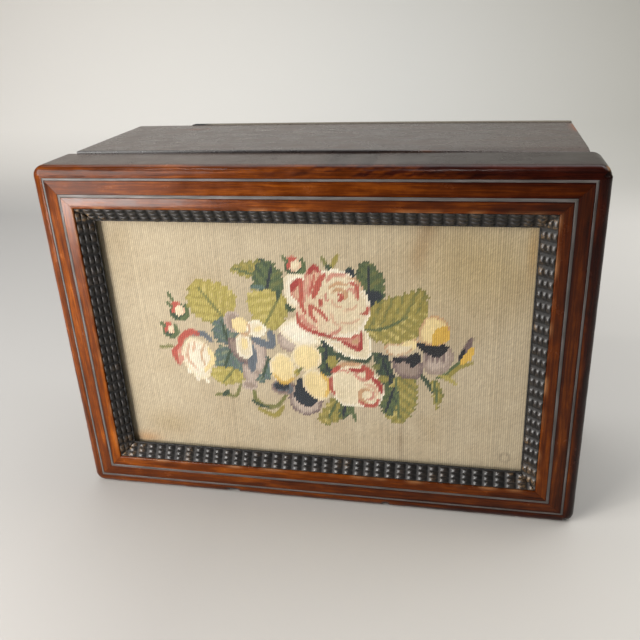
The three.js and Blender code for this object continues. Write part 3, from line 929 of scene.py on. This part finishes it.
def paint_rose(picture):
    petal, stroke = picture.petal, picture.stroke
    petal([(-13, 43), (-3, 44), (3, 38), (-2, 25), (-11, 24), (-15, 33)], "white", "cream", 3)
    petal([(-19, 11), (-8, 18), (1, 9), (4, 1), (-8, 0), (-16, 4)], "white", "cream", 3)
    petal([(4, 6), (16, 4), (30, 12), (34, 3), (32, -7), (20, -6), (11, 0)], "cream", "white", 2)
    body = [(-8, 19), (-5, 34), (3, 44), (17, 47), (28, 40), (34, 27), (32, 16), (25, 8), (11, 6), (0, 8)]
    petal(body, "cream", "white", 3)
    depth = picture.depth_in(body)
    leftwards = smooth_step(14, -6, picture.x + 0.25 * (picture.z - 25)) + 0.4 * picture.fray
    picture.tint(0.6 * leftwards * (depth > 0), "blush")
    petal([(-3, 33), (-2, 44), (4, 48), (8, 43), (5, 34)], "blush", "pink", 2.5)
    petal([(-11, 33), (-7, 41), (-3, 40), (-3, 27), (-8, 28)], "blush", "pink", 2.5)
    stroke([(0, 44), (3, 48), (6, 46)], 3.0, "deep_red")
    stroke([(-10, 34), (-8, 38), (-4, 40)], 3.6, "deep_red")
    stroke([(-5, 41), (-4.5, 33), (-5.5, 27), (-3, 20)], 2.2, "red")
    stroke([(9, 44), (6, 40), (4, 35), (2, 30)], 3.2, "red")
    for points, width, wool in (
        ([(1, 43), (0, 36), (-1, 30)], 1.6, "pink"),
        ([(0, 26), (0, 20), (3, 15)], 2.4, "red"),
        ([(1, 25), (6, 21), (10, 16)], 2.2, "red"),
        ([(6, 29), (6, 25)], 2.6, "red"),
        ([(9, 33), (9, 30), (11, 28)], 1.6, "pink"),
        ([(-8, 20), (-7, 14), (-2, 10), (5, 7.5)], 3.0, "red"),
        ([(-1, 9.5), (5, 7.5), (12, 6)], 2.6, "deep_red"),
        ([(-5, 19), (-3, 14), (3, 11)], 3.0, "pink"),
        ([(11, 8), (14, 9), (17, 11.5)], 2.2, "pink"),
        ([(29, 21), (32, 22), (33, 26)], 2.2, "red"),
        ([(23, 40), (27, 37), (27, 30)], 2.6, "red"),
        ([(10, 40), (14, 44), (21, 44)], 2.4, "pink"),
        ([(11, 36), (16, 39), (22, 38)], 2.0, "tan"),
        ([(13, 34), (17, 35.5), (21, 33), (20, 29.5)], 2.4, "tan"),
        ([(16, 33), (18.5, 31), (16.5, 28.5)], 2.4, "red"),
        ([(21, 35), (24, 36), (25, 33)], 1.6, "pink"),
        ([(12, 30), (14, 26), (18, 25)], 1.4, "blush"),
        ([(19, 23), (24, 24), (27, 27)], 1.4, "blush"),
        ([(16, 16), (22, 15), (28, 18)], 1.4, "blush"),
        ([(12, 21), (13, 16), (18, 12)], 1.6, "blush"),
        ([(22, 43), (27, 41), (30, 36)], 1.6, "tan"),
        ([(3, 44), (2, 38), (0, 33)], 1.4, "red"),
    ):
        stroke(points, 0.85 * width, wool, 0.9)
    petal([(12, 6), (21, 6), (28, 9), (29, 1), (25, -1), (19, 2)], "pink", "red", 2)
    stroke([(18, 3), (25, -0.5), (28, 0), (29, 10)], 2.4, "deep_red")
    petal([(22, 3), (27, 2), (27, 7)], "tan", "pink", 1.5)


def paint_small_rose(picture):
    petal, stroke = picture.petal, picture.stroke
    body = [
        (10, -20), (16, -12), (28, -10), (36, -17), (41, -28),
        (38, -37), (30, -39), (17, -39), (10, -31),
    ]
    petal(body, "cream", "white", 3)
    for points, width, wool in (
        ([(13, -14), (19, -11), (28, -10.5)], 3.2, "tan"),
        ([(11, -17), (15, -13)], 3.6, "red"),
        ([(10, -20), (9.5, -27), (12, -32)], 2.4, "red"),
        ([(21, -14), (26, -15), (31, -13)], 3.2, "deep_red"),
        ([(29, -12), (33, -16), (31, -20)], 4.6, "red"),
        ([(31, -21), (27, -20), (24, -17)], 2.2, "pink"),
        ([(34, -19), (38, -23), (40, -29)], 3.4, "deep_red"),
        ([(30, -24), (35, -25), (37, -30)], 2.0, "blush"),
        ([(33, -27), (28, -28), (27, -33), (31, -36)], 2.8, "tan"),
        ([(34, -28), (35, -32), (31, -34)], 1.8, "pink"),
        ([(26, -35), (31, -38), (36, -37), (38, -33)], 2.6, "red"),
        ([(15, -16), (18, -15), (21, -17)], 1.6, "pink"),
    ):
        stroke(points, 0.85 * width, wool, 0.9)


def paint_buds(picture):
    petal, stroke = picture.petal, picture.stroke
    stroke([(-73, 4), (-66, 4), (-61, -1)], 3.6, "slate", 0.7)
    edge = [(-80, -5), (-74, 1), (-65, -3), (-62, -12), (-66, -25), (-74, -26), (-82, -14)]
    petal(edge, "white", "cream", 4)
    stroke([(-64, -6), (-62, -13), (-68, -21)], 3.0, "yellow")
    stroke([(-66, -2), (-69, -10), (-67, -18)], 1.4, "tan", 0.6)
    stroke([(-76, -3), (-78, -12), (-73, -20)], 1.6, "blush", 0.8)
    stroke([(-72, -1), (-74, -8)], 1.6, "blush", 0.7)
    for x, z in ((-79, -20), (-74, -25), (-68, -26)):
        stroke([(x, z), (x + 1.5, z - 3)], 1.6, "white")
    stroke([(-82, -5), (-80, 1), (-74, 5), (-69, 4)], 3.8, "red")
    stroke([(-82, -4), (-86, -9), (-84, -17)], 3.2, "red")
    stroke([(-82, -6), (-83, -10)], 2.0, "pink")
    stroke([(-82, -11), (-83, -16)], 3.0, "pink")
    for centre, size in (((-8, 48.5), 4.6), ((-80, 18.5), 4.6), ((-87, 6), 3.6)):
        x, z = centre
        petal(oval((x + 0.6, z - 1.2), (size + 1.6, size + 1.0)), "pine", "green", 1.0)
        petal(oval((x + 0.4, z + 0.6), (size * 0.8, size * 0.85)), "cream", "blush", 1.5)
        stroke([(x - size * 0.7, z - 1), (x - size * 0.5, z + size * 0.8), (x + 1, z + size)], 2.8, "red")
        stroke([(x - size - 2, z + size + 1), (x - size * 0.7, z + 2)], 2.0, "green")
        stroke([(x + size, z + size), (x + size + 1, z - 2), (x + 1, z - size - 1)], 2.4, "green")


def paint_stains(picture):
    """Grime and old damp on the canvas, as factors on the stitch colours."""
    x, z = picture.x, picture.z
    for centre, radii, colour, strength, turn in (
        ((62, 60), (5, 15), (214, 188, 160), 0.5, -12),
        ((66, 72), (4, 5), (190, 168, 146), 0.45, 0),
        ((50.7, -62), (2.0, 15), (170, 160, 150), 0.5, 0),
        ((92, 50), (40, 30), (232, 222, 190), 0.8, 0),
        ((119, 60), (3, 14), (240, 212, 160), 0.6, 0),
        ((-114, -72), (10, 4), (250, 200, 150), 0.6, 0),
        ((-95, -60), (16, 9), (226, 218, 200), 0.7, 0),
    ):
        lean = math.radians(turn)
        dx, dz = x - centre[0], z - centre[1]
        a = (dx * math.cos(lean) + dz * math.sin(lean)) / radii[0]
        b = (dz * math.cos(lean) - dx * math.sin(lean)) / radii[1]
        share = strength * np.exp(-(a**2) - b**2)[..., None]
        picture.colour *= 1 - share * (1 - linear(colour))
    ring = np.hypot(x - 111.5, z + 67.3)
    picture.colour *= 1 - 0.28 * np.exp(-(((ring - 2.8) / 0.9) ** 2))[..., None]
    patches = waves(83, 12, 120.0, x, z)
    picture.colour *= 1 + 0.05 * patches[..., None] * np.array([0.8, 1.0, 1.4])
    bands = waves(87, 8, 40.0, z) * 0.5 + waves(88, 8, 60.0, x) * 0.5
    picture.colour *= 1 + 0.025 * bands[..., None]


def stitched_picture(x, z):
    rng = np.random.default_rng(5)
    picture = Picture(x, z)
    for paint in (
        paint_upper_leaves,
        paint_lower_leaves,
        paint_stems,
        paint_right_pansy,
        paint_left_pansy,
        paint_centre_pansy,
        paint_buds,
        paint_rose,
        paint_small_rose,
        paint_stains,
    ):
        paint(picture)
    picture.colour *= 1 + rng.normal(0, 0.05, x.shape)[..., None]
    picture.colour *= 1 + rng.normal(0, 0.03, x.shape[1])[None, :, None]
    return np.clip(picture.colour, 0, 1)


def make_needlework():
    """Slanted stitches laid in upright ribs. A rib's crest has a point at each stitch's ends and middle,
    and the grooves between ribs have one point a stitch, half a stitch on, so that each stitch leans."""
    rng = np.random.default_rng(17)
    crest_x = (np.arange(RIB_COUNT) + 0.5 - RIB_COUNT / 2) * RIB_PITCH
    groove_x = (np.arange(RIB_COUNT + 1) - RIB_COUNT / 2) * RIB_PITCH
    crest_z = (np.arange(2 * STITCH_ROWS + 1) / 2 - STITCH_ROWS / 2) * STITCH_PITCH
    groove_z = (np.arange(STITCH_ROWS + 2) - 0.5 - STITCH_ROWS / 2) * STITCH_PITCH
    cx, cz = np.meshgrid(crest_x, crest_z, indexing="ij")
    gx, gz = np.meshgrid(groove_x, groove_z, indexing="ij")
    middle = np.arange(2 * STITCH_ROWS + 1) % 2 == 1
    crest_depth = np.where(middle, 0.0, STITCH_DIP)[None, :] + 0.05 * rng.random(cx.shape)
    groove_depth = GROOVE_DEPTH + 0.08 * rng.random(gx.shape)
    sway = 0.12 * waves(31, 6, 70.0, cx, cz)
    groove_sway = 0.12 * waves(31, 6, 70.0, gx, gz)
    crest = np.stack([cx + sway, crest_depth, cz], -1)
    groove = np.stack([gx + groove_sway, groove_depth, gz], -1)
    crest_index = np.arange(cx.size).reshape(cx.shape)
    groove_index = np.arange(gx.size).reshape(gx.shape) + cx.size
    low, mid, high = crest_index[:, 0:-1:2], crest_index[:, 1::2], crest_index[:, 2::2]
    left0, left1 = groove_index[:-1, :-2], groove_index[:-1, 1:-1]
    right0, right1 = groove_index[1:, 1:-1], groove_index[1:, 2:]
    corners = [
        (left0, low, mid),
        (left0, mid, left1),
        (left1, mid, high),
        (low, right0, mid),
        (mid, right0, right1),
        (mid, right1, high),
    ]
    triangles = np.stack([np.stack(c, -1) for c in corners], 2).reshape(-1, 3)
    stitch_x, stitch_z = np.meshgrid(crest_x, crest_z[1::2], indexing="ij")
    colours = stitched_picture(stitch_x.T, stitch_z.T).transpose(1, 0, 2).reshape(-1, 3)
    corner_colours = np.repeat(colours, 6 * 3, axis=0)
    # The grooves between ribs are drawn darker: painted shade.
    in_groove = triangles.ravel() >= cx.size
    corner_colours[in_groove] *= GROOVE_SHADE
    points = np.concatenate([crest.reshape(-1, 3), groove.reshape(-1, 3)])
    return points, triangles, corner_colours


def add_needlework():
    points, triangles, colours = make_needlework()
    half_width = LID_WIDTH / 2 - CANVAS_INSET
    half_height = LID_HEIGHT / 2 - CANVAS_INSET
    first = len(points)
    inner_x = RIB_COUNT * RIB_PITCH / 2 - 0.5
    inner_z = STITCH_ROWS * STITCH_PITCH / 2 - 0.5
    border = []
    for depth, wide, high in (
        (GROOVE_DEPTH, inner_x, inner_z),
        (GROOVE_DEPTH, half_width, half_height),
        (CANVAS_THICKNESS, half_width, half_height),
    ):
        border += [(-wide, depth, -high), (wide, depth, -high), (wide, depth, high), (-wide, depth, high)]
    points = np.concatenate([points, border])
    faces = triangles.tolist()
    for ring in range(2):
        for k in range(4):
            a, b = first + 4 * ring + k, first + 4 * ring + (k + 1) % 4
            faces.append([a, b, b + 4, a + 4])
    faces.append([first + 8 + k for k in (3, 2, 1, 0)])
    loose = sum(len(face) for face in faces[len(triangles) :])
    colours = np.concatenate([colours, np.tile(LINEAR_WOOLS["ground"], (loose, 1))])
    mesh = bpy.data.meshes.new("needlework_stitched")
    placed = points + (0, FACE_Y + CANVAS_FRONT, LID_HEIGHT / 2)
    mesh.from_pydata((placed * MM).tolist(), [], faces)
    layer = mesh.attributes.new("stitch", "FLOAT_COLOR", "CORNER")
    layer.data.foreach_set("color", np.c_[colours, np.ones(len(colours))].astype(np.float32).ravel())
    corner_points = points[np.concatenate([np.array(face) for face in faces])]
    u = 0.5 + 0.49 * corner_points[:, 0] / half_width
    v = 0.55 + 0.44 * corner_points[:, 2] / half_height
    back_corners = slice(len(u) - 4, None)
    v[back_corners] = 0.05 + 0.04 * corner_points[back_corners, 2] / half_height
    uvs = mesh.uv_layers.new(name="OFBake")
    uvs.data.foreach_set("uv", np.stack([u, v], -1).astype(np.float32).ravel())
    mesh.shade_smooth()
    settle(add_object("needlework_stitched", mesh), "needlework", ["needlework_panel"])


# The case


def crown(x):
    """How far the case's top bows up and leans, at a place along it."""
    share = (x - CASE_CENTRE) / CASE_HALF
    return CASE_CROWN * (1 - share**2) - CASE_TILT * share


def eased_section(low, high, ease, step):
    """A rectangle with softened edges, as points going round it."""
    (a0, b0), (a1, b1) = low, high
    corners = []
    for centre_a, centre_b, start in (
        (a1 - ease, b1 - ease, 0),
        (a0 + ease, b1 - ease, 90),
        (a0 + ease, b0 + ease, 180),
        (a1 - ease, b0 + ease, 270),
    ):
        for turn in (0, 30, 60, 90):
            angle = math.radians(start + turn)
            corners.append((centre_a + ease * math.cos(angle), centre_b + ease * math.sin(angle)))
    return outline(corners, step)


def make_board(name, slot, low, high, axis, order, reshape, paint, step=2.5):
    """A board with its grain along the given axis (0 for X, 2 for Z), built as a bar with softened ends."""
    ease = BOARD_EASE
    cross = [k for k in range(3) if k != axis]
    start, end = low[axis], high[axis]
    count = math.ceil((end - start) / step)
    near_end = [0, ease * 0.3, ease, CASE_CORNER * 0.35, CASE_CORNER * 0.65]
    shrinks = [ease, ease * 0.35, 0, 0, 0]
    places = [start + away for away in near_end]
    places += [start + (end - start) * k / count for k in range(2, count - 1)]
    places += [end - away for away in reversed(near_end)]
    shrinks = shrinks + [0] * (count - 3) + shrinks[::-1]
    full = eased_section((low[cross[0]], low[cross[1]]), (high[cross[0]], high[cross[1]]), ease, step)
    middle = (np.array([low[k] for k in cross]) + np.array([high[k] for k in cross])) / 2
    reach = np.array([high[k] - low[k] for k in cross]) / 2
    rings = np.empty((len(places), len(full), 3))
    for ring, where, shrink in zip(rings, places, shrinks):
        ring[:, axis] = where
        ring[:, cross] = middle + (full - middle) * (1 - shrink / reach)
    rings = round_back_corners(rings)
    if reshape is not None:
        rings[..., 2] += reshape(rings)
    faces, uvs = loft(rings)
    points = rings.reshape(-1, 3)
    attributes = {key: np.zeros(len(points)) for key in ("shade", "stain", "worn")}
    attributes["grain"] = np.column_stack([points[:, axis] + order * 333, points[:, cross]])
    paint(points, attributes)
    add_piece(f"{name}_board", points, faces, slot, [name], uvs, attributes)


def top_mark(points, first, last, width):
    """How much each point lies on a short mark on the case's top, between two places (x, y)."""
    first, last = np.array(first, float), np.array(last, float)
    run = last - first
    share = np.clip(((points[:, :2] - first) @ run) / (run @ run), 0, 1)
    away = np.linalg.norm(points[:, :2] - first - share[:, None] * run, axis=1)
    return smooth_step(width, width * 0.3, away) * (points[:, 2] > LID_HEIGHT - 1)


def mark_top(points, attributes):
    """Old marks on the case's top, a dark line along the seam, and edges that are rubbed."""
    x, y, _ = points.T
    marks = np.zeros(len(points))
    for first, last, width, strength in (
        ((-107, 45), (-98, 43), 2.0, 0.5),
        ((-99, 42), (-86, 45), 2.2, 0.6),
        ((-97, 48), (-88, 47), 1.6, 0.5),
        ((-112, 30), (-106, 29), 1.8, 0.3),
        ((86, 54), (94, 55), 1.6, 0.7),
        ((110, 49), (116, 49), 1.4, 0.5),
    ):
        marks = np.maximum(marks, strength * top_mark(points, first, last, width))
    red = marks * (x < 0) * smooth_step(-0.6, 0.6, waves(7, 6, 5.0, x, y))
    # The dark line along the seam is painted shade.
    seam = smooth_step(CASE_FRONT + 1.6, CASE_FRONT + 0.4, y) * smooth_step(80, 20, x)
    attributes["shade"] = np.clip(marks + 0.9 * seam, 0, 1)
    right_edge = smooth_step(CASE_RIGHT - 3.2, CASE_RIGHT - 0.6, x)
    right_edge = right_edge * smooth_step(24, 34, y) * smooth_step(58, 50, y)
    seam_spot = smooth_step(3.5, 1.5, np.abs(x - 62)) * smooth_step(CASE_FRONT + 1.5, CASE_FRONT + 0.3, y)
    attributes["worn"] = np.clip(0.8 * right_edge + 0.15 * seam_spot + 0.9 * red, 0, 1)


def dark_front(points, attributes):
    """Darker where a board of the case meets the lid: painted shade in the seam."""
    attributes["shade"] = 0.6 * smooth_step(CASE_FRONT + 2.5, CASE_FRONT, points[:, 1])


def lift_top(rings):
    """The upper board's top bows up, and its front edge is rubbed down towards the right."""
    x, y, z = np.moveaxis(rings, -1, 0)
    share = smooth_step(LID_HEIGHT - CASE_WALL, CASE_TOP, z)
    dip = 0.75 * smooth_step(20, 130, x) * smooth_step(CASE_FRONT + 9, CASE_FRONT, y)
    return share * (crown(x) - dip)


def lift_base(rings):
    """The base's top edge stands proud, except at its left end, where a ragged sliver has gone."""
    x, y, z = np.moveaxis(rings, -1, 0)
    share = smooth_step(LID_HEIGHT - CASE_WALL, CASE_TOP, z)
    whole = smooth_step(BREAK_X - BREAK_SLANT, BREAK_X, x + 0.8 * waves(93, 4, 4.0, y, z))
    ragged = 0.12 * waves(95, 7, 11.0, x, y)
    return share * (crown(x) + whole * (BASE_PROUD + BREAK_DROP) - BREAK_DROP + ragged * (1 - 0.8 * whole))


def mark_base(points, attributes):
    """The base's top edge is dark next to the break and paler at the break; away from the break it is drawn
    grey, a painted sheen.
    """
    x, _, z = points.T
    top = smooth_step(CASE_TOP - 2.5, CASE_TOP - 0.4, z)
    broken = smooth_step(BREAK_X, BREAK_X - BREAK_SLANT, x)
    near_break = smooth_step(BREAK_X + 16, BREAK_X + 6, x)
    dark = top * (0.15 + 0.85 * near_break)
    attributes["shade"] = np.clip(dark * (1 - 0.75 * broken) + 0.2 * waves(97, 9, 90.0, x, z), 0, 1)
    attributes["stain"] = 0.85 * dark * (1 - broken)
    # Away from the break the top edge takes the grey tone: painted sheen.
    attributes["worn"] = 0.9 * top * (1 - near_break)


def round_back_corners(rings):
    """Rounds the case's two upright back corners, seen from above."""
    x, y = rings[..., 0], rings[..., 1]
    centre_y = -FACE_Y - CASE_CORNER
    for end, side in ((CASE_LEFT, -1), (CASE_RIGHT, 1)):
        centre_x = end - side * CASE_CORNER
        dx, dy = (x - centre_x) * side, y - centre_y
        reach = np.hypot(dx, dy)
        outside = (dx > 0) & (dy > 0) & (reach > CASE_CORNER)
        squeeze = np.where(outside, CASE_CORNER / np.maximum(reach, 1e-6), 1.0)
        x = centre_x + side * np.where(outside, dx * squeeze, dx)
        y = centre_y + np.where(outside, dy * squeeze, dy)
    return np.stack([x, y, rings[..., 2]], -1)


def make_case():
    upper_low = (CASE_LEFT, CASE_FRONT, LID_HEIGHT - CASE_WALL)
    upper_high = (CASE_RIGHT, CASE_BACK, CASE_TOP)
    lower_low = (CASE_LEFT, CASE_FRONT, 0)
    lower_high = (CASE_RIGHT, CASE_BACK, CASE_WALL)
    base_low = (CASE_LEFT, BASE_FRONT, 0)
    base_high = (CASE_RIGHT, BACK_Y, CASE_TOP)
    make_board("case_board_upper", "case_wood", upper_low, upper_high, 0, 1, lift_top, mark_top)
    make_board("case_board_lower", "case_wood", lower_low, lower_high, 0, 2, None, dark_front)
    ends = ((3, "case_end_left", CASE_LEFT), (4, "case_end_right", CASE_RIGHT - CASE_WALL))
    for order, name, x0 in ends:
        low = (x0, CASE_FRONT, CASE_WALL + JOINT_GAP)
        high = (x0 + CASE_WALL, CASE_BACK, LID_HEIGHT - CASE_WALL - JOINT_GAP)
        make_board(name, "case_wood", low, high, 2, order, None, dark_front)
    make_board("base_board", "base_wood", base_low, base_high, 0, 5, lift_base, mark_base, step=1.5)


def dress_flat_solids():
    """The glass and the hidden board behind the needlework keep their solids and get their materials."""
    for node, slot in (("lid_backing_board", "backing_wood"), ("glass_pane", "glass")):
        coat(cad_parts[node].data, slot)


# The room. Its lengths are in metres.

CAMERA_AT = (0.08866, -0.41018, 0.28838)
CAMERA_FORWARD = (-0.19195, 0.89455, -0.40364)
CAMERA_UP = (-0.03918, 0.40398, 0.91393)
CAMERA_SENSOR = 36
CAMERA_LENS = 39.981
CAMERA_SHIFT = (-0.018, -0.0132)
CAMERA_REACH = 50

FLOOR_FRONT = -3.0
FLOOR_HALF_WIDTH = 4.0
WALL_Y = 1.1
WALL_HEIGHT = 3.0
BEND_RADIUS = 0.35
BEND_STEPS = 12
SKY_COLOUR = (0.93, 0.96, 1.0, 1)
SKY_STRENGTH = 0.16

# Name, place, what it looks at, width and height, power in watts, and colour
LIGHTS = [
    ("window", (-0.72, -0.62, 0.50), (0.0, 0.0, 0.10), (0.75, 0.6), 14.6, (1.0, 0.98, 0.95)),
    ("low_glow", (-0.345, -0.45, 0.10), (-0.12, -0.06, 0.19), (0.22, 0.07), 1.9, (1.0, 0.95, 0.92)),
    ("side_glow", (-0.43, -0.45, 0.05), (-0.15, -0.06, 0.15), (0.08, 0.10), 0.15, (1.0, 0.95, 0.92)),
    ("top_fill", (0.0, 0.5, 1.3), (0.0, 0.4, 0.0), (1.8, 1.0), 17, (0.97, 0.98, 1.0)),
    ("right_fill", (0.60, 0.10, 0.70), (0.34, -0.10, 0.0), (0.4, 0.4), 1.8, (1.0, 0.99, 0.97)),
    ("lamp_0", (-0.5, -0.5, 1.1), (0.0, 0.0, 0.1), (0.07, 0.07), 1.6, (1.0, 0.97, 0.93)),
    ("lamp_1", (0.05, -0.7, 1.1), (0.0, 0.0, 0.1), (0.07, 0.07), 1.0, (1.0, 0.97, 0.93)),
]


def make_camera():
    camera_data = bpy.data.cameras.new("camera")
    camera = add_object("camera", camera_data)
    camera_data.sensor_width = CAMERA_SENSOR
    camera_data.lens = CAMERA_LENS
    camera_data.shift_x, camera_data.shift_y = CAMERA_SHIFT
    camera_data.clip_end = CAMERA_REACH
    forward = np.array(CAMERA_FORWARD)
    forward /= np.linalg.norm(forward)
    right = np.cross(forward, CAMERA_UP)
    right /= np.linalg.norm(right)
    up = np.cross(right, forward)
    turn = Matrix((right, up, -forward)).transposed().to_4x4()
    camera.matrix_world = Matrix.Translation(CAMERA_AT) @ turn
    bpy.context.scene.camera = camera


def add_area(name, place_at, look_at, size, power, colour):
    data = bpy.data.lights.new(name, "AREA")
    data.shape = "RECTANGLE"
    data.size, data.size_y = size
    data.energy = power
    data.color = colour
    light = add_object(name, data)
    light.location = place_at
    light.rotation_mode = "QUATERNION"
    light.rotation_quaternion = (Vector(look_at) - Vector(place_at)).to_track_quat("-Z", "Y")


def room_painted_light():
    """White with painted light: the wall is painted brighter at its left and duller at its right, and the
    floor is painted darker at the left and brighter at the right.
    """
    paint = Nodes("room_painted_light")
    place_at = paint.add("ShaderNodeTexCoord").outputs["Object"]
    parts = paint.add("ShaderNodeSeparateXYZ", {"Vector": place_at}).outputs
    wall_stops = [(0.0, (225, 221, 214)), (0.5, (184, 183, 178)), (1.0, (143, 139, 126))]
    floor_stops = [(0.0, (158, 156, 153)), (0.4, (160, 157, 153)), (1.0, (196, 193, 187))]
    wall = paint.ramp(paint.remap(parts["X"], -1.0, 0.9), wall_stops)
    floor = paint.ramp(paint.remap(parts["X"], -0.3, 0.3), floor_stops)
    colour = paint.mix(paint.remap(parts["Y"], 0.55, 0.95), floor, wall)
    return paint.finish(Base_Color=colour, Roughness=0.75)


def make_room():
    """A pale floor that sweeps up into a wall, and soft lights, the main one from the left."""
    bend_y = WALL_Y - BEND_RADIUS
    profile = [(FLOOR_FRONT, 0.0), (bend_y, 0.0)]
    for step in range(1, BEND_STEPS + 1):
        angle = step / BEND_STEPS * math.pi / 2
        rise = BEND_RADIUS - BEND_RADIUS * math.cos(angle)
        profile.append((bend_y + BEND_RADIUS * math.sin(angle), rise))
    profile.append((WALL_Y, WALL_HEIGHT))
    points = [(x, y, z) for y, z in profile for x in (-FLOOR_HALF_WIDTH, FLOOR_HALF_WIDTH)]
    faces = [[2 * k, 2 * k + 1, 2 * k + 3, 2 * k + 2] for k in range(len(profile) - 1)]
    mesh = bpy.data.meshes.new("floor")
    mesh.from_pydata(points, [], faces)
    mesh.shade_smooth()
    floor = add_object("floor", mesh)
    mesh.materials.append(room_painted_light())

    world = bpy.data.worlds.new("world")
    world.use_nodes = True
    background = world.node_tree.nodes["Background"]
    background.inputs["Color"].default_value = SKY_COLOUR
    background.inputs["Strength"].default_value = SKY_STRENGTH
    bpy.context.scene.world = world

    for light in LIGHTS:
        add_area(*light)
    view = bpy.context.scene.view_settings
    view.view_transform = "Standard"
    view.look = "None"


make_camera()
make_room()
for order, side in enumerate(SIDES):
    make_lid_rail(side, order)
    make_string("outer", OUTER_STRING, side, order)
    make_string("inner", INNER_STRING, side, order + 4)
    make_ripple(side, order)
add_needlework()
make_case()
dress_flat_solids()
